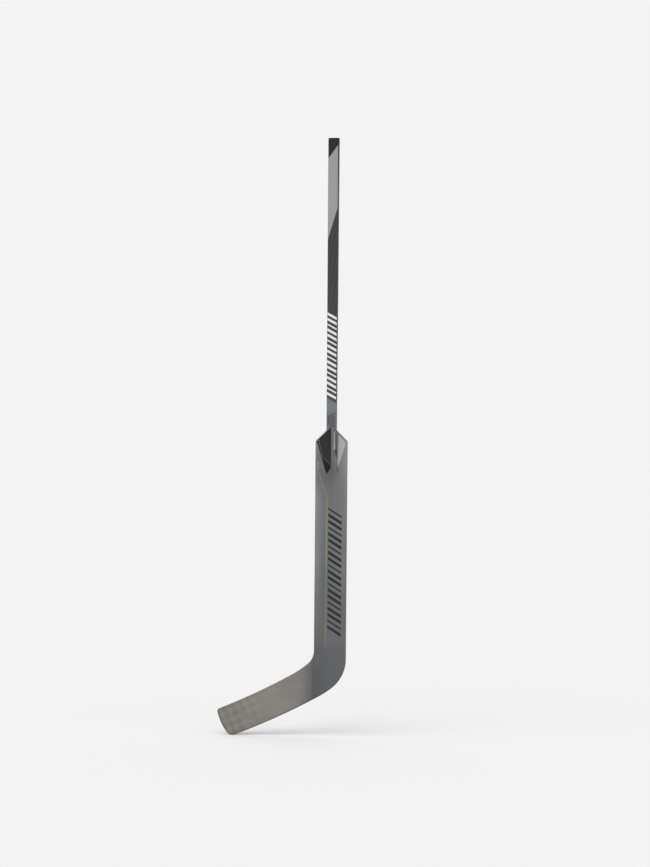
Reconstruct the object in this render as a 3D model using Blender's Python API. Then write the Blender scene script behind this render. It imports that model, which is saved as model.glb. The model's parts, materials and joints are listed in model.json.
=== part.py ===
"""A goaltender's ice hockey stick, as the bonded assembly that it is.

The frame: metres, +Z up along the shaft, the front face towards -Y and the
blade towards -X. The origin is on the shaft's axis at the throat, where the
shaft meets the shoulders of the paddle.
"""

import math

import bmesh
import bpy
from mathutils import Vector

# ---------------------------------------------------------------- dimensions
MM = 0.001
GAP = 0.3 * MM  # bond line between neighbouring pieces

# shaft: a hollow rounded rectangle that widens a little towards the butt
SHAFT_LENGTH = 799.5 * MM  # throat to the top of the butt plug
SHAFT_WIDTH_FOOT = 27.6 * MM
SHAFT_WIDTH_BUTT = 29.8 * MM
SHAFT_DEPTH = 20.0 * MM
SHAFT_CORNER = 4.5 * MM
BORE_WIDTH_FOOT = 21.0 * MM
BORE_WIDTH_BUTT = 25.2 * MM
BORE_DEPTH_FOOT = 15.0 * MM
BORE_DEPTH_BUTT = 15.6 * MM
BORE_CORNER = 2.0 * MM
PLUG_CAP = 4.0 * MM  # thickness of the plug's head
PLUG_SPIGOT = 38.0 * MM

# paddle
PADDLE_HALF = 44.0 * MM
PADDLE_DEPTH = 18.0 * MM
SHOULDER_ROUND_INNER = 6.5 * MM  # corner on the blade side
SHOULDER_ROUND_OUTER = 10.0 * MM
THROAT_FADE = 120.0 * MM  # the shaft's depth fades to the paddle's over this
SPAR_WIDTH = 20.4 * MM
TENON_DEPTH = 14.4 * MM
TENON_LENGTH = 70.0 * MM
SPAR_END = -585.0 * MM

# edges and skins
RAIL_WIDTH = 5.5 * MM
RAIL_NECK = 2.33 * MM  # the rail's width where it starts at the throat
EDGE_ROUND = 5.0 * MM
SKIN = 1.2 * MM

# crook: the inside of the bend, as (radius, turn in degrees)
CROOK_START = -604.0 * MM
CROOK_ARCS = ((49.5 * MM, 50.9), (320.0 * MM, 9.9))
BLADE_TOP_RADIUS = 1750.0 * MM
BLADE_TOP_RUN = 225.0 * MM

# heel: the outside of the bend
HEEL_START = -627.5 * MM
HEEL_ARCS = ((101.0 * MM, 51.4), (265.0 * MM, 9.3))
BLADE_SOLE_RADIUS = 1750.0 * MM
BLADE_SOLE_RUN = 267.5 * MM
SEAM_RUN = 24.0 * MM  # from the heel's arcs to the seam between paddle and blade skins

# toe
TOE_SAGITTA = 5.3 * MM
TOE_ROUND_TOP = 9.0 * MM
TOE_ROUND_SOLE = 23.0 * MM

# blade: depth, curve and face opening, along a line from the heel to the toe
BLADE_DEPTH_ROOT = 13.5 * MM
BLADE_DEPTH_TOE = 9.0 * MM
BLADE_LINE_START = (-50.0 * MM, -692.0 * MM)
BLADE_LINE_ANGLE = 25.5  # degrees below level
BLADE_LINE_LENGTH = 270.0 * MM
BLADE_CURVE = 20.0 * MM  # how far the toe stands forward of the paddle
BLADE_OPENING = 6.0  # degrees that the face leans back at the toe
DEPTH_FADE = (-90.0 * MM, 20.0 * MM)  # where the paddle's depth becomes the blade's

# finger pads: inserts that form the facets at the throat, (x, z) in mm on the
# front; the back carries the same two mirrored. Each facet is a plane that
# leaves the paddle's face at its hinge line and sinks towards the neck. The
# pockets are cut from the foam and the spar, and reach further up than the pads.
PAD_LARGE = ((-1.4, -5.0), (-12.0, -5.0), (-35.2, -30.8), (-13.2, -118.6), (-1.4, -104.6))
PAD_SMALL = ((18.2, -14.0), (20.4, -14.0), (36.4, -33.6), (38.2, -40.4), (19.6, -97.6), (18.2, -98.2))
POCKET_LARGE = ((-1.1, -0.9), (-13.0, -0.9), (-38.6, -30.2), (-13.1, -120.6), (-1.1, -105.2))
POCKET_SMALL = ((17.9, -3.0), (18.6, -3.0), (40.0, -30.0), (40.2, -38.0), (20.0, -98.6), (17.9, -99.2))
HINGE_LARGE = ((-41.4, -27.4), (-12.8, -122.0))
HINGE_SMALL = ((41.0, -38.0), (19.6, -101.0))
FACET_SLOPE = 0.07
PAD_THICK = 1.2 * MM


# ---------------------------------------------------------------- scene, materials
for old in list(bpy.data.objects):
    bpy.data.objects.remove(old, do_unlink=True)


def material(name, color, roughness, metallic=0.0):
    mat = bpy.data.materials.new(name)
    mat.use_nodes = True
    shader = mat.node_tree.nodes["Principled BSDF"]
    shader.inputs["Base Color"].default_value = (*color, 1.0)
    shader.inputs["Roughness"].default_value = roughness
    shader.inputs["Metallic"].default_value = metallic
    mat.diffuse_color = (*color, 1.0)
    return mat


CHARCOAL = material("charcoal_composite", (0.075, 0.073, 0.075), 0.38)
PLUG_BLACK = material("moulded_black", (0.028, 0.028, 0.030), 0.55)
STEEL_GREY = material("steel_grey_laminate", (0.160, 0.175, 0.185), 0.34)
BACK_GREY = material("back_laminate", (0.110, 0.118, 0.125), 0.36)
RAIL_GREY = material("rail_grey", (0.185, 0.195, 0.200), 0.40)
PAD_BLACK = material("pad_black", (0.026, 0.027, 0.026), 0.62)
PAD_LIGHT = material("pad_light", (0.370, 0.370, 0.375), 0.50)
KHAKI = material("blade_laminate", (0.225, 0.213, 0.188), 0.42)
BINDING = material("edge_binding", (0.150, 0.148, 0.140), 0.50)
FOAM = material("core_foam", (0.560, 0.520, 0.400), 0.90)
CARBON = material("carbon_rib", (0.030, 0.030, 0.032), 0.45)
BLOCK = material("heel_block_resin", (0.090, 0.092, 0.096), 0.60)


def add(name, verts, faces, mat, smooth=True):
    """One closed mesh object, with its faces turned outwards."""
    mesh = bpy.data.meshes.new(name)
    mesh.from_pydata([tuple(v) for v in verts], [], faces)
    bm = bmesh.new()
    bm.from_mesh(mesh)
    bmesh.ops.recalc_face_normals(bm, faces=bm.faces)
    bmesh.ops.triangulate(bm, faces=bm.faces)
    bm.to_mesh(mesh)
    bm.free()
    mesh.materials.append(mat)
    if smooth:
        mesh.shade_smooth()
        mesh.set_sharp_from_angle(angle=math.radians(35))
    obj = bpy.data.objects.new(name, mesh)
    bpy.context.scene.collection.objects.link(obj)
    return obj


def loft(name, rings, mat):
    """A solid through equal rings of points, closed by a face at each end."""
    count = len(rings[0])
    verts = [p for ring in rings for p in ring]
    faces = [tuple(range(count)), tuple(range((len(rings) - 1) * count, len(rings) * count))]
    for i in range(len(rings) - 1):
        for j in range(count):
            k = (j + 1) % count
            faces.append((i * count + j, i * count + k, (i + 1) * count + k, (i + 1) * count + j))
    return add(name, verts, faces, mat)


# ---------------------------------------------------------------- the outline
def smooth_step(x):
    x = min(1.0, max(0.0, x))
    return x * x * (3 - 2 * x)


def follow(x, z, heading, pieces):
    """Points and headings along straight runs and arcs.

    A heading of 90 degrees runs straight down and 0 runs level towards -X. Each
    piece is (radius, length, count), and a radius of None is a straight run.
    """
    places = [(x, z)]
    headings = [heading]
    for radius, length, count in pieces:
        for _ in range(count):
            turn = 0.0 if radius is None else math.degrees(length / count / radius)
            middle = math.radians(heading - turn / 2)
            chord = length / count
            if radius is not None:
                chord = 2 * radius * math.sin(math.radians(turn) / 2)
            x -= math.cos(middle) * chord
            z -= math.sin(middle) * chord
            heading -= turn
            places.append((x, z))
            headings.append(heading)
    return [Vector(p) for p in places], headings


def arc(radius_turn, count):
    radius, turn = radius_turn
    return (radius, radius * math.radians(turn), count)


def bend(p0, corner, p1, count):
    """A rounded corner from p0 to p1, tangent to the two lines that meet at corner."""
    a, b = corner - p0, p1 - corner
    turn = a.angle(b)
    reach = 4 / 3 * math.tan(turn / 4) / math.tan(turn / 2)
    c0, c1 = p0 + a * reach, p1 - b * reach
    points = []
    for i in range(count + 1):
        t = i / count
        points.append(
            p0 * (1 - t) ** 3 + c0 * 3 * t * (1 - t) ** 2 + c1 * 3 * t * t * (1 - t) + p1 * t**3
        )
    return points


def toward(a, b, distance):
    return a + (b - a).normalized() * distance


CORNER_STEPS = 4
PADDLE_STEPS = (-62.0 * MM, -90.0 * MM, -120.0 * MM, -310.0 * MM, -500.0 * MM, -545.0 * MM, SPAR_END)
CROOK_STEPS = 10  # round the crook, as far as the seam with the blade
HEEL_STEPS = (7, 2, 1)  # round the heel and a little way along the sole, to the same seam
BLADE_STEPS = 9
CROOK_EASE_STEPS = 2
TOE_STEPS = 6


def side(sign, round_corner, bend_start, bend_pieces):
    """One side of the outline, from the throat down to the toe's sharp corner."""
    neck = Vector((sign * SHAFT_WIDTH_FOOT / 2, -GAP / 2))
    half = sign * PADDLE_HALF
    corner = Vector((half, -(PADDLE_HALF - SHAFT_WIDTH_FOOT / 2) - GAP / 2))
    trim = round_corner * math.tan(math.radians(45 / 2))
    below = corner - Vector((0, trim))
    points = [neck] + bend(toward(corner, neck, trim), corner, below, CORNER_STEPS)
    points += [Vector((half, z)) for z in PADDLE_STEPS]
    return points + follow(half, bend_start, 90.0, bend_pieces)[0]


def trim_end(points, distance):
    """The line with this much taken off its end."""
    points = list(points)
    while (points[-1] - points[-2]).length < distance:
        distance -= (points[-1] - points[-2]).length
        points.pop()
    points[-1] = toward(points[-1], points[-2], distance)
    return points


crook_pieces = [
    arc(CROOK_ARCS[0], CROOK_STEPS),
    arc(CROOK_ARCS[1], CROOK_EASE_STEPS),
    (BLADE_TOP_RADIUS, BLADE_TOP_RUN, BLADE_STEPS - CROOK_EASE_STEPS),
]
heel_pieces = [
    arc(HEEL_ARCS[0], HEEL_STEPS[0]),
    arc(HEEL_ARCS[1], HEEL_STEPS[1]),
    (BLADE_SOLE_RADIUS, SEAM_RUN, HEEL_STEPS[2]),
    (BLADE_SOLE_RADIUS, BLADE_SOLE_RUN - SEAM_RUN, BLADE_STEPS),
]
inner_line = side(-1, SHOULDER_ROUND_INNER, CROOK_START, crook_pieces)
outer_line = side(1, SHOULDER_ROUND_OUTER, HEEL_START, heel_pieces)
toe_top, toe_sole = inner_line[-1], outer_line[-1]
chord = toe_sole - toe_top
toe_out = Vector((chord.y, -chord.x)).normalized()
if toe_out.x > 0:
    toe_out.negate()


def toe_arc(t):
    return toe_top + chord * t + toe_out * (4 * TOE_SAGITTA * t * (1 - t))


def toe_corner(line, radius, from_top):
    """A rounded toe corner: the side it leaves, then its points to the toe's arc."""
    corner = line[-1]
    ahead = toe_arc(0.02 if from_top else 0.98) - corner
    turn = (line[-1] - line[-2]).angle(ahead)
    trim = radius * math.tan(turn / 2)
    on_toe = trim / chord.length
    end = toe_arc(on_toe if from_top else 1 - on_toe)
    cut = trim_end(line, trim)
    return cut, bend(cut[-1], corner, end, CORNER_STEPS), on_toe


inner_cut, corner_top, toe_t0 = toe_corner(inner_line, TOE_ROUND_TOP, True)
outer_cut, corner_sole, toe_t1 = toe_corner(outer_line, TOE_ROUND_SOLE, False)
INNER = inner_cut + corner_top[1:]
OUTER = outer_cut + corner_sole[1:]

# stations, counted from the throat to the toe, the same on both sides
K_CORNER = 1
K_PADDLE = K_CORNER + CORNER_STEPS
K_SPAR_END = K_PADDLE + len(PADDLE_STEPS)
K_BEND = K_SPAR_END + 1
K_BLADE = K_BEND + sum(HEEL_STEPS)
K_TOE = K_BLADE + BLADE_STEPS
K_END = K_TOE + CORNER_STEPS


def inward(points, sign):
    """The direction into the material at each station, scaled so that an offset stays parallel."""
    found = []
    for i, p in enumerate(points):
        if i == 0:
            found.append(Vector((-sign * math.sqrt(2), 0)))
            continue
        before = (p - points[i - 1]).normalized()
        after = (points[i + 1] - p).normalized() if i + 1 < len(points) else before
        n0 = Vector((before.y, -before.x)) * sign
        n1 = Vector((after.y, -after.x)) * sign
        middle = (n0 + n1).normalized()
        found.append(middle / max(0.5, middle.dot(n0)))
    return found


INNER_IN = inward(INNER, -1)
OUTER_IN = inward(OUTER, 1)


def rail_width(k):
    """The rail narrows up the shoulder, so that it clears the spar at the throat."""
    return RAIL_NECK + (RAIL_WIDTH - RAIL_NECK) * min(1.0, k / K_CORNER)


def at(values, k):
    i = min(len(values) - 2, int(math.floor(k)))
    return values[i].lerp(values[i + 1], k - i)


def edge_point(inner, k, extra=0.0):
    """A point on the line where the rail ends and the skin begins, plus extra."""
    line, into = (INNER, INNER_IN) if inner else (OUTER, OUTER_IN)
    return at(line, k) + at(into, k) * (rail_width(k) + extra)


# ---------------------------------------------------------------- front and back surfaces
BLADE_DIR = Vector((-math.cos(math.radians(BLADE_LINE_ANGLE)), -math.sin(math.radians(BLADE_LINE_ANGLE))))
BLADE_UP = Vector((BLADE_DIR.y, -BLADE_DIR.x))


def blade_place(p):
    """How far along the blade a point is, and how far above its middle line."""
    off = Vector(p) - Vector(BLADE_LINE_START)
    return off.dot(BLADE_DIR), off.dot(BLADE_UP)


def depth(p):
    """The stick's thickness, skin to skin."""
    along, _ = blade_place(p)
    if along > 0:
        blade = BLADE_DEPTH_ROOT + (BLADE_DEPTH_TOE - BLADE_DEPTH_ROOT) * min(1, along / BLADE_LINE_LENGTH)
    else:
        blade = BLADE_DEPTH_ROOT
    share = smooth_step((along - DEPTH_FADE[0]) / (DEPTH_FADE[1] - DEPTH_FADE[0]))
    base = PADDLE_DEPTH + (blade - PADDLE_DEPTH) * share
    return base + (SHAFT_DEPTH - PADDLE_DEPTH) * smooth_step(1 + p[1] / THROAT_FADE)


def middle(p):
    """Where the middle of the thickness lies, along Y: the blade's curve and face opening."""
    along, above = blade_place(p)
    share = max(0.0, along) / BLADE_LINE_LENGTH
    return -BLADE_CURVE * share**2 + math.tan(math.radians(BLADE_OPENING)) * above * share**1.6


def surface(p, share, inset):
    """A point at this share of the thickness (-1 front, 1 back), moved in by inset."""
    return Vector((p[0], middle(p) + share * (depth(p) / 2 - inset), p[1]))


# ---------------------------------------------------------------- builders
CORE_FACES = ((-1, SKIN + GAP), (1, SKIN + GAP))
FRONT_FACES = ((-1, 0.0), (-1, SKIN))
BACK_FACES = ((1, SKIN), (1, 0.0))


def block(name, rows, between, mat):
    """A plate whose outline is rows of points, one row per station.

    between gives its front and its back, each as a share of the thickness (-1
    the stick's front, 1 its back) and a distance in from there.
    """
    columns = len(rows[0])
    verts = [surface(p, *between[0]) for row in rows for p in row]
    verts += [surface(p, *between[1]) for row in rows for p in row]
    half = len(rows) * columns
    faces = []
    for i in range(len(rows) - 1):
        for j in range(columns - 1):
            a = i * columns + j
            quad = (a, a + 1, a + columns + 1, a + columns)
            faces += [quad, tuple(half + v for v in reversed(quad))]
    for i in range(len(rows) - 1):
        for j in (0, columns - 1):
            a, b = i * columns + j, (i + 1) * columns + j
            faces.append((a, b, half + b, half + a))
    for i in (0, len(rows) - 1):
        for j in range(columns - 1):
            a = i * columns + j
            faces.append((a, a + 1, half + a + 1, half + a))
    return add(name, verts, faces, mat)


def stations(first, last):
    """Every whole station between two, with the two themselves."""
    inside = [float(k) for k in range(math.ceil(first + 1e-6), math.floor(last - 1e-6) + 1)]
    return [first] + inside + [last]


def rim(name, pairs, mat):
    """An edge piece: outer and inner points, rounded over its outer side."""
    rings = []
    for outer, inner in pairs:
        width = (inner - outer).length
        into = (inner - outer) / width
        ring = []
        thick = depth(outer)
        r = min(EDGE_ROUND, 0.45 * thick, 0.85 * width)
        for share in (-1, 1):
            arcs = []
            for i in range(5):
                a = math.radians(90) * i / 4
                p = outer + into * (r - r * math.sin(a))
                arcs.append(Vector((p.x, middle(p) + share * (thick / 2 - r + r * math.cos(a)), p.y)))
            if share < 0:
                ring += [Vector((inner.x, middle(inner) - thick / 2, inner.y))] + arcs
            else:
                ring += arcs[::-1] + [Vector((inner.x, middle(inner) + thick / 2, inner.y))]
        rings.append(ring)
    return loft(name, rings, mat)


def side_pairs(inner, first, last):
    line = INNER if inner else OUTER
    return [(at(line, k), edge_point(inner, k)) for k in stations(first, last)]


def rounded_ring(width, thick, radius, z, count=5):
    """A rounded rectangle round the shaft's axis."""
    ring = []
    for sx, sy, start in ((1, 1, 0), (-1, 1, 90), (-1, -1, 180), (1, -1, 270)):
        cx, cy = sx * (width / 2 - radius), sy * (thick / 2 - radius)
        for i in range(count + 1):
            a = math.radians(start + 90 * i / count)
            ring.append(Vector((cx + radius * math.cos(a), cy + radius * math.sin(a), z)))
    return ring


def shaft_width(z):
    return SHAFT_WIDTH_FOOT + (SHAFT_WIDTH_BUTT - SHAFT_WIDTH_FOOT) * z / SHAFT_LENGTH


def bore_size(z):
    t = z / SHAFT_LENGTH
    return (
        BORE_WIDTH_FOOT + (BORE_WIDTH_BUTT - BORE_WIDTH_FOOT) * t,
        BORE_DEPTH_FOOT + (BORE_DEPTH_BUTT - BORE_DEPTH_FOOT) * t,
    )


# ---------------------------------------------------------------- shaft and plug
def make_shaft():
    low, high = GAP / 2, SHAFT_LENGTH - PLUG_CAP - GAP
    rings = [rounded_ring(shaft_width(z), SHAFT_DEPTH, SHAFT_CORNER, z) for z in (low, high)]
    bores = [rounded_ring(*bore_size(z), BORE_CORNER, z) for z in (low, high)]
    count = len(rings[0])
    verts = rings[0] + rings[1] + bores[0] + bores[1]
    faces = []
    for j in range(count):
        k = (j + 1) % count
        faces.append((j, k, count + k, count + j))
        faces.append((2 * count + k, 2 * count + j, 3 * count + j, 3 * count + k))
        faces.append((j, 2 * count + j, 2 * count + k, k))
        faces.append((count + j, count + k, 3 * count + k, 3 * count + j))
    add("shaft_tube", verts, faces, CHARCOAL)


def make_plug():
    top = SHAFT_LENGTH
    foot = top - PLUG_CAP
    width = shaft_width(foot)
    lead = 1.2 * MM
    bw, bd = bore_size(foot - PLUG_SPIGOT)
    bw, bd = bw - 2 * GAP, bd - 2 * GAP
    rings = [
        rounded_ring(bw - 2 * lead, bd - 2 * lead, BORE_CORNER * 0.5, foot - PLUG_SPIGOT),
        rounded_ring(bw, bd, BORE_CORNER, foot - PLUG_SPIGOT + lead),
    ]
    for i in range(3):  # shallow grooves that hold the adhesive
        z = foot - PLUG_SPIGOT + (8 + 10 * i) * MM
        for dz, cut in ((0, 0), (0.8 * MM, 0.8 * MM), (3.2 * MM, 0.8 * MM), (4.0 * MM, 0)):
            rings.append(rounded_ring(bw - 2 * cut, bd - 2 * cut, BORE_CORNER, z + dz))
    rings.append(rounded_ring(bw, bd, BORE_CORNER, foot))
    rings.append(rounded_ring(width, SHAFT_DEPTH, SHAFT_CORNER, foot))
    for i in range(4):
        a = math.radians(90) * i / 3
        r = 1.8 * MM
        cut = r - r * math.cos(a)
        rings.append(
            rounded_ring(width - 2 * cut, SHAFT_DEPTH - 2 * cut, SHAFT_CORNER - cut * 0.6, top - r + r * math.sin(a))
        )
    loft("butt_end_plug", rings, PLUG_BLACK)


# ---------------------------------------------------------------- paddle
SEAM = 0.012  # half of the seam between paddle and blade skins, in stations


def across(k, shares, extra=GAP):
    """Points across the stick at a station, between the two rails."""
    a, b = edge_point(True, k, extra), edge_point(False, k, extra)
    return [a.lerp(b, t) for t in shares]


def cross_at_x(k, x):
    """Where the line across a station passes x."""
    a, b = edge_point(True, k), edge_point(False, k)
    return a.lerp(b, (x - a.x) / (b.x - a.x))


def make_spar():
    def ring(width, front, back, z):
        c = 1.6 * MM
        return [
            Vector((sx * (width / 2 - (0 if flat else c)), (front if sy < 0 else back) - sy * (c if flat else 0), z))
            for sx, sy, flat in (
                (-1, -1, False), (1, -1, False), (1, -1, True), (1, 1, True),
                (1, 1, False), (-1, 1, False), (-1, 1, True), (-1, -1, True),
            )
        ]

    inset = SKIN + GAP
    rings = [
        ring(SPAR_WIDTH - 2 * MM, -TENON_DEPTH / 2 + MM, TENON_DEPTH / 2 - MM, TENON_LENGTH),
        ring(SPAR_WIDTH, -TENON_DEPTH / 2, TENON_DEPTH / 2, TENON_LENGTH - 3 * MM),
        ring(SPAR_WIDTH, -TENON_DEPTH / 2, TENON_DEPTH / 2, -GAP),
    ]
    for z in (-GAP - 1.5 * MM, -30 * MM, -62 * MM, -90 * MM, -120 * MM, -310 * MM, -500 * MM, -545 * MM, SPAR_END + GAP):
        p = (0.0, z)
        rings.append(ring(SPAR_WIDTH, surface(p, -1, inset).y, surface(p, 1, inset).y, z))
    loft("paddle_center_spar", rings, CARBON)


def facet_depth(p, hinge, mirror):
    """How far a facet lies below the paddle's face at a point."""
    a, b = (Vector(q) * MM for q in hinge)
    along = (b - a).normalized()
    away = Vector((-along.y, along.x))
    if away.y < 0:
        away.negate()
    return FACET_SLOPE * max(0.0, (Vector((p[0] * mirror, p[1])) - a).dot(away))


def pad_layer(points, hinge, front, below):
    """The pad's outline on its facet, or this far below it."""
    share, mirror = (-1, 1) if front else (1, -1)
    return [surface(p, share, facet_depth(p, hinge, mirror) + below) for p in points]


def pad_cutter(name, points, hinge, front):
    """The pocket that a pad fills, a bond line deeper than the pad."""
    floor = pad_layer(points, hinge, front, PAD_THICK + GAP)
    clear = [Vector((p.x, -0.016 if front else 0.016, p.z)) for p in floor]
    obj = loft("pocket_" + name, [floor, clear], PAD_BLACK)
    obj.hide_render = True
    obj.display_type = "WIRE"
    return obj


def grow(points, distance):
    """A convex outline moved outwards by a distance."""
    count = len(points)
    area = sum(points[i].cross(points[(i + 1) % count]) for i in range(count))
    sign = 1 if area > 0 else -1
    grown = []
    for i, p in enumerate(points):
        before = (p - points[i - 1]).normalized()
        after = (points[(i + 1) % count] - p).normalized()
        n0, n1 = Vector((before.y, -before.x)) * sign, Vector((after.y, -after.x)) * sign
        middle_dir = (n0 + n1).normalized()
        grown.append(p + middle_dir * (distance / middle_dir.dot(n0)))
    return grown


def make_paddle():
    last = K_BLADE - SEAM
    rows = [across(k, (0.0, 0.35, 0.65, 1.0)) for k in stations(0.0, last)]
    front = block("paddle_front_skin", rows, FRONT_FACES, STEEL_GREY)
    back = block("paddle_back_skin", rows, BACK_FACES, BACK_GREY)
    rim("inner_edge_rail", side_pairs(True, 0.0, last), RAIL_GREY)
    rim("outer_edge_rail", side_pairs(False, 0.0, last), RAIL_GREY)

    side_x = SPAR_WIDTH / 2 + GAP
    for name, inner in (("paddle_core_inner", True), ("paddle_core_outer", False)):
        x = -side_x if inner else side_x
        core = []
        for k in stations(0.12, K_SPAR_END):
            edge = edge_point(inner, k, GAP)
            spar = cross_at_x(k, x)
            core.append([edge, edge.lerp(spar, 0.5), spar] if inner else [spar, spar.lerp(edge, 0.5), edge])
        block(name, core, CORE_FACES, FOAM)

    # the heel block takes over where the spar and the foam end
    rows = [across(k, (0.0, 0.35, 0.65, 1.0)) for k in stations(K_SPAR_END + 0.03, last)]
    block("heel_block", rows, CORE_FACES, BLOCK)

    spar = bpy.data.objects["paddle_center_spar"]
    cores = {True: bpy.data.objects["paddle_core_inner"], False: bpy.data.objects["paddle_core_outer"]}
    for front_side, skin in ((True, front), (False, back)):
        mirror = 1 if front_side else -1
        where = "front" if front_side else "back"
        for outline, pocket, hinge, mat, hand in (
            (PAD_LARGE, POCKET_LARGE, HINGE_LARGE, PAD_BLACK, -1),
            (PAD_SMALL, POCKET_SMALL, HINGE_SMALL, PAD_LIGHT, 1),
        ):
            on_left = hand * mirror < 0
            name = f"finger_pad_{where}_{'left' if on_left else 'right'}"
            points = [Vector((x * mirror, z)) * MM for x, z in outline]
            wider = [Vector((x * mirror, z)) * MM for x, z in pocket]
            window = pad_cutter(name, grow(points, GAP), hinge, front_side)
            hollow = pad_cutter(name + "_core", wider, hinge, front_side)
            hosts = [(skin, window), (cores[on_left], hollow)]
            if outline is PAD_LARGE:
                hosts.append((spar, hollow))
            for host, cutter in hosts:
                cut = host.modifiers.new(name, "BOOLEAN")
                cut.operation = "DIFFERENCE"
                cut.object = cutter
                cut.solver = "EXACT"
            make_pad(name, points, hinge, front_side, mat)


def make_pad(name, points, hinge, front, mat):
    """A thin insert on its facet, with a shallow dish inside its rim."""
    centre = sum(points, Vector((0, 0))) / len(points)
    shrunk = [[centre + (p - centre) * k for p in points] for k in (0.88, 0.83)]
    rings = [
        pad_layer(points, hinge, front, PAD_THICK),
        pad_layer(points, hinge, front, 0.0),
        pad_layer(shrunk[0], hinge, front, 0.0),
        pad_layer(shrunk[1], hinge, front, 0.35 * MM),
    ]
    loft(name, rings, mat)


# ---------------------------------------------------------------- blade
def make_blade():
    first, last = K_BLADE + SEAM, float(K_END)
    shares = (0.0, 0.44, 0.56, 1.0)
    rows = [across(k, shares) for k in stations(first, last)]
    # a bond line clear of the toe edge
    rows[-1] = [p.lerp(q, 0.06) for p, q in zip(rows[-1], rows[-2])]
    block("blade_front_skin", rows, FRONT_FACES, KHAKI)
    block("blade_back_skin", rows, BACK_FACES, KHAKI)

    split = 0.0022
    for name, t0, t1, mat in (
        ("blade_core_upper", 0.0, 0.44 - split, FOAM),
        ("blade_bridge_rib", 0.44 + split, 0.56 - split, CARBON),
        ("blade_core_lower", 0.56 + split, 1.0, FOAM),
    ):
        part = []
        for row in rows:
            a, b = row[0], row[-1]
            part.append([a.lerp(b, t0), a.lerp(b, (t0 + t1) / 2), a.lerp(b, t1)])
        block(name, part, CORE_FACES, mat)

    rim("blade_top_edge", side_pairs(True, first, K_TOE - SEAM), BINDING)
    rim("blade_bottom_edge", side_pairs(False, first, K_TOE - SEAM), BINDING)

    # the toe edge runs round both corners, and its inner side is straight between them
    pairs = side_pairs(True, K_TOE + SEAM, float(K_END))
    a, b = pairs[-1][1], edge_point(False, float(K_END))
    for i in range(1, TOE_STEPS):
        t = i / TOE_STEPS
        pairs.append((toe_arc(toe_t0 + (1 - toe_t1 - toe_t0) * t), a.lerp(b, t)))
    pairs += side_pairs(False, K_TOE + SEAM, float(K_END))[::-1]
    rim("toe_edge", pairs, BINDING)


make_shaft()
make_plug()
make_spar()
make_paddle()
make_blade()
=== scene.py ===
"""The looks of a goaltender's ice hockey stick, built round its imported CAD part.

Lengths are in millimetres until a mesh is made. The frame is the part's own: +Z
up the shaft, the front towards -Y, the blade towards -X, and the origin on the
shaft's axis at the throat.
"""

import json
import math

import bmesh
import bpy
import numpy as np
from mathutils import Matrix, Vector
from mathutils.geometry import delaunay_2d_cdt

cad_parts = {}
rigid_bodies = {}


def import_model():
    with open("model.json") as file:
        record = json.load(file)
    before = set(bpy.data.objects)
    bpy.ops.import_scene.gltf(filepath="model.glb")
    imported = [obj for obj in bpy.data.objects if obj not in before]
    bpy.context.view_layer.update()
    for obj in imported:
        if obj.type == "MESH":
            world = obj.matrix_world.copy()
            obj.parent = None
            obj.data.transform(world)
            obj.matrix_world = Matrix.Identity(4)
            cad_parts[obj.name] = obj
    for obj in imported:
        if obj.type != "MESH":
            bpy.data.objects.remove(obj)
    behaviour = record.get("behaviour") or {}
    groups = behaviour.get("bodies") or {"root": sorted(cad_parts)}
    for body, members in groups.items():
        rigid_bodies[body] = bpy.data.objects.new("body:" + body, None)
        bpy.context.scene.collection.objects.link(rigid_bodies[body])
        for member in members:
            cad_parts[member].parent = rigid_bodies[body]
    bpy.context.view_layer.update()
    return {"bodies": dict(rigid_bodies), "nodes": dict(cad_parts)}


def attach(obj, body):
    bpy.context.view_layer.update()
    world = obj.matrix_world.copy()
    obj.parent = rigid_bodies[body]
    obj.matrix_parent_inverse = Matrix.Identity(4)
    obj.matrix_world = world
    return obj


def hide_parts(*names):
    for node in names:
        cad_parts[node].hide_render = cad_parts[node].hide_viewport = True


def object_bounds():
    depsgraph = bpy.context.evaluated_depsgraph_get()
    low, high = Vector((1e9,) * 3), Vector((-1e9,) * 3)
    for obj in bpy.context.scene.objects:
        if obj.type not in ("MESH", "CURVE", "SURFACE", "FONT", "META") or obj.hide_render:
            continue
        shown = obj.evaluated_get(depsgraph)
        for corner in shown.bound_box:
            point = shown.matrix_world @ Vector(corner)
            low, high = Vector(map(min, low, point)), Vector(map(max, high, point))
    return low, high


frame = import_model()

for old in list(bpy.data.objects):
    if old.name not in frame["nodes"] and old not in frame["bodies"].values():
        bpy.data.objects.remove(old, do_unlink=True)

MM = 0.001
SEAM = 0.05  # half of a hairline between two pieces

# ---------------------------------------------------------------- dimensions
SHAFT_LENGTH = 799.5
SHAFT_WIDTH_FOOT, SHAFT_WIDTH_BUTT = 27.6, 29.8
SHAFT_DEPTH = 20.0
SHAFT_CORNER = 4.5
PLUG_CAP, PLUG_SPIGOT = 4.0, 38.0
PADDLE_HALF = 44.0
PADDLE_DEPTH = 18.0
SHOULDER_ROUND_INNER, SHOULDER_ROUND_OUTER = 6.5, 10.0
THROAT_FADE = 120.0
RAIL_WIDTH, RAIL_NECK = 5.5, 2.33
EDGE_ROUND = 5.0
CROWN = 0.7  # how far the faces fall towards the edges
SKIN = 1.2
CROOK_START, HEEL_START = -604.0, -627.5
CROOK_ARCS = ((49.5, 50.9), (320.0, 9.9))
HEEL_ARCS = ((101.0, 51.4), (265.0, 9.3))
BLADE_RADIUS = 1750.0
BLADE_TOP_RUN, BLADE_SOLE_RUN, SEAM_RUN = 225.0, 267.5, 24.0
TOE_SAGITTA = 5.3
TOE_ROUND_TOP, TOE_ROUND_SOLE = 9.0, 23.0
BLADE_DEPTH_ROOT, BLADE_DEPTH_TOE = 13.5, 9.0
BLADE_START = (-50.0, -692.0)
BLADE_ANGLE = math.radians(25.5)
BLADE_LENGTH = 270.0
BLADE_CURVE = 20.0
BLADE_OPENING = math.radians(6.0)
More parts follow.
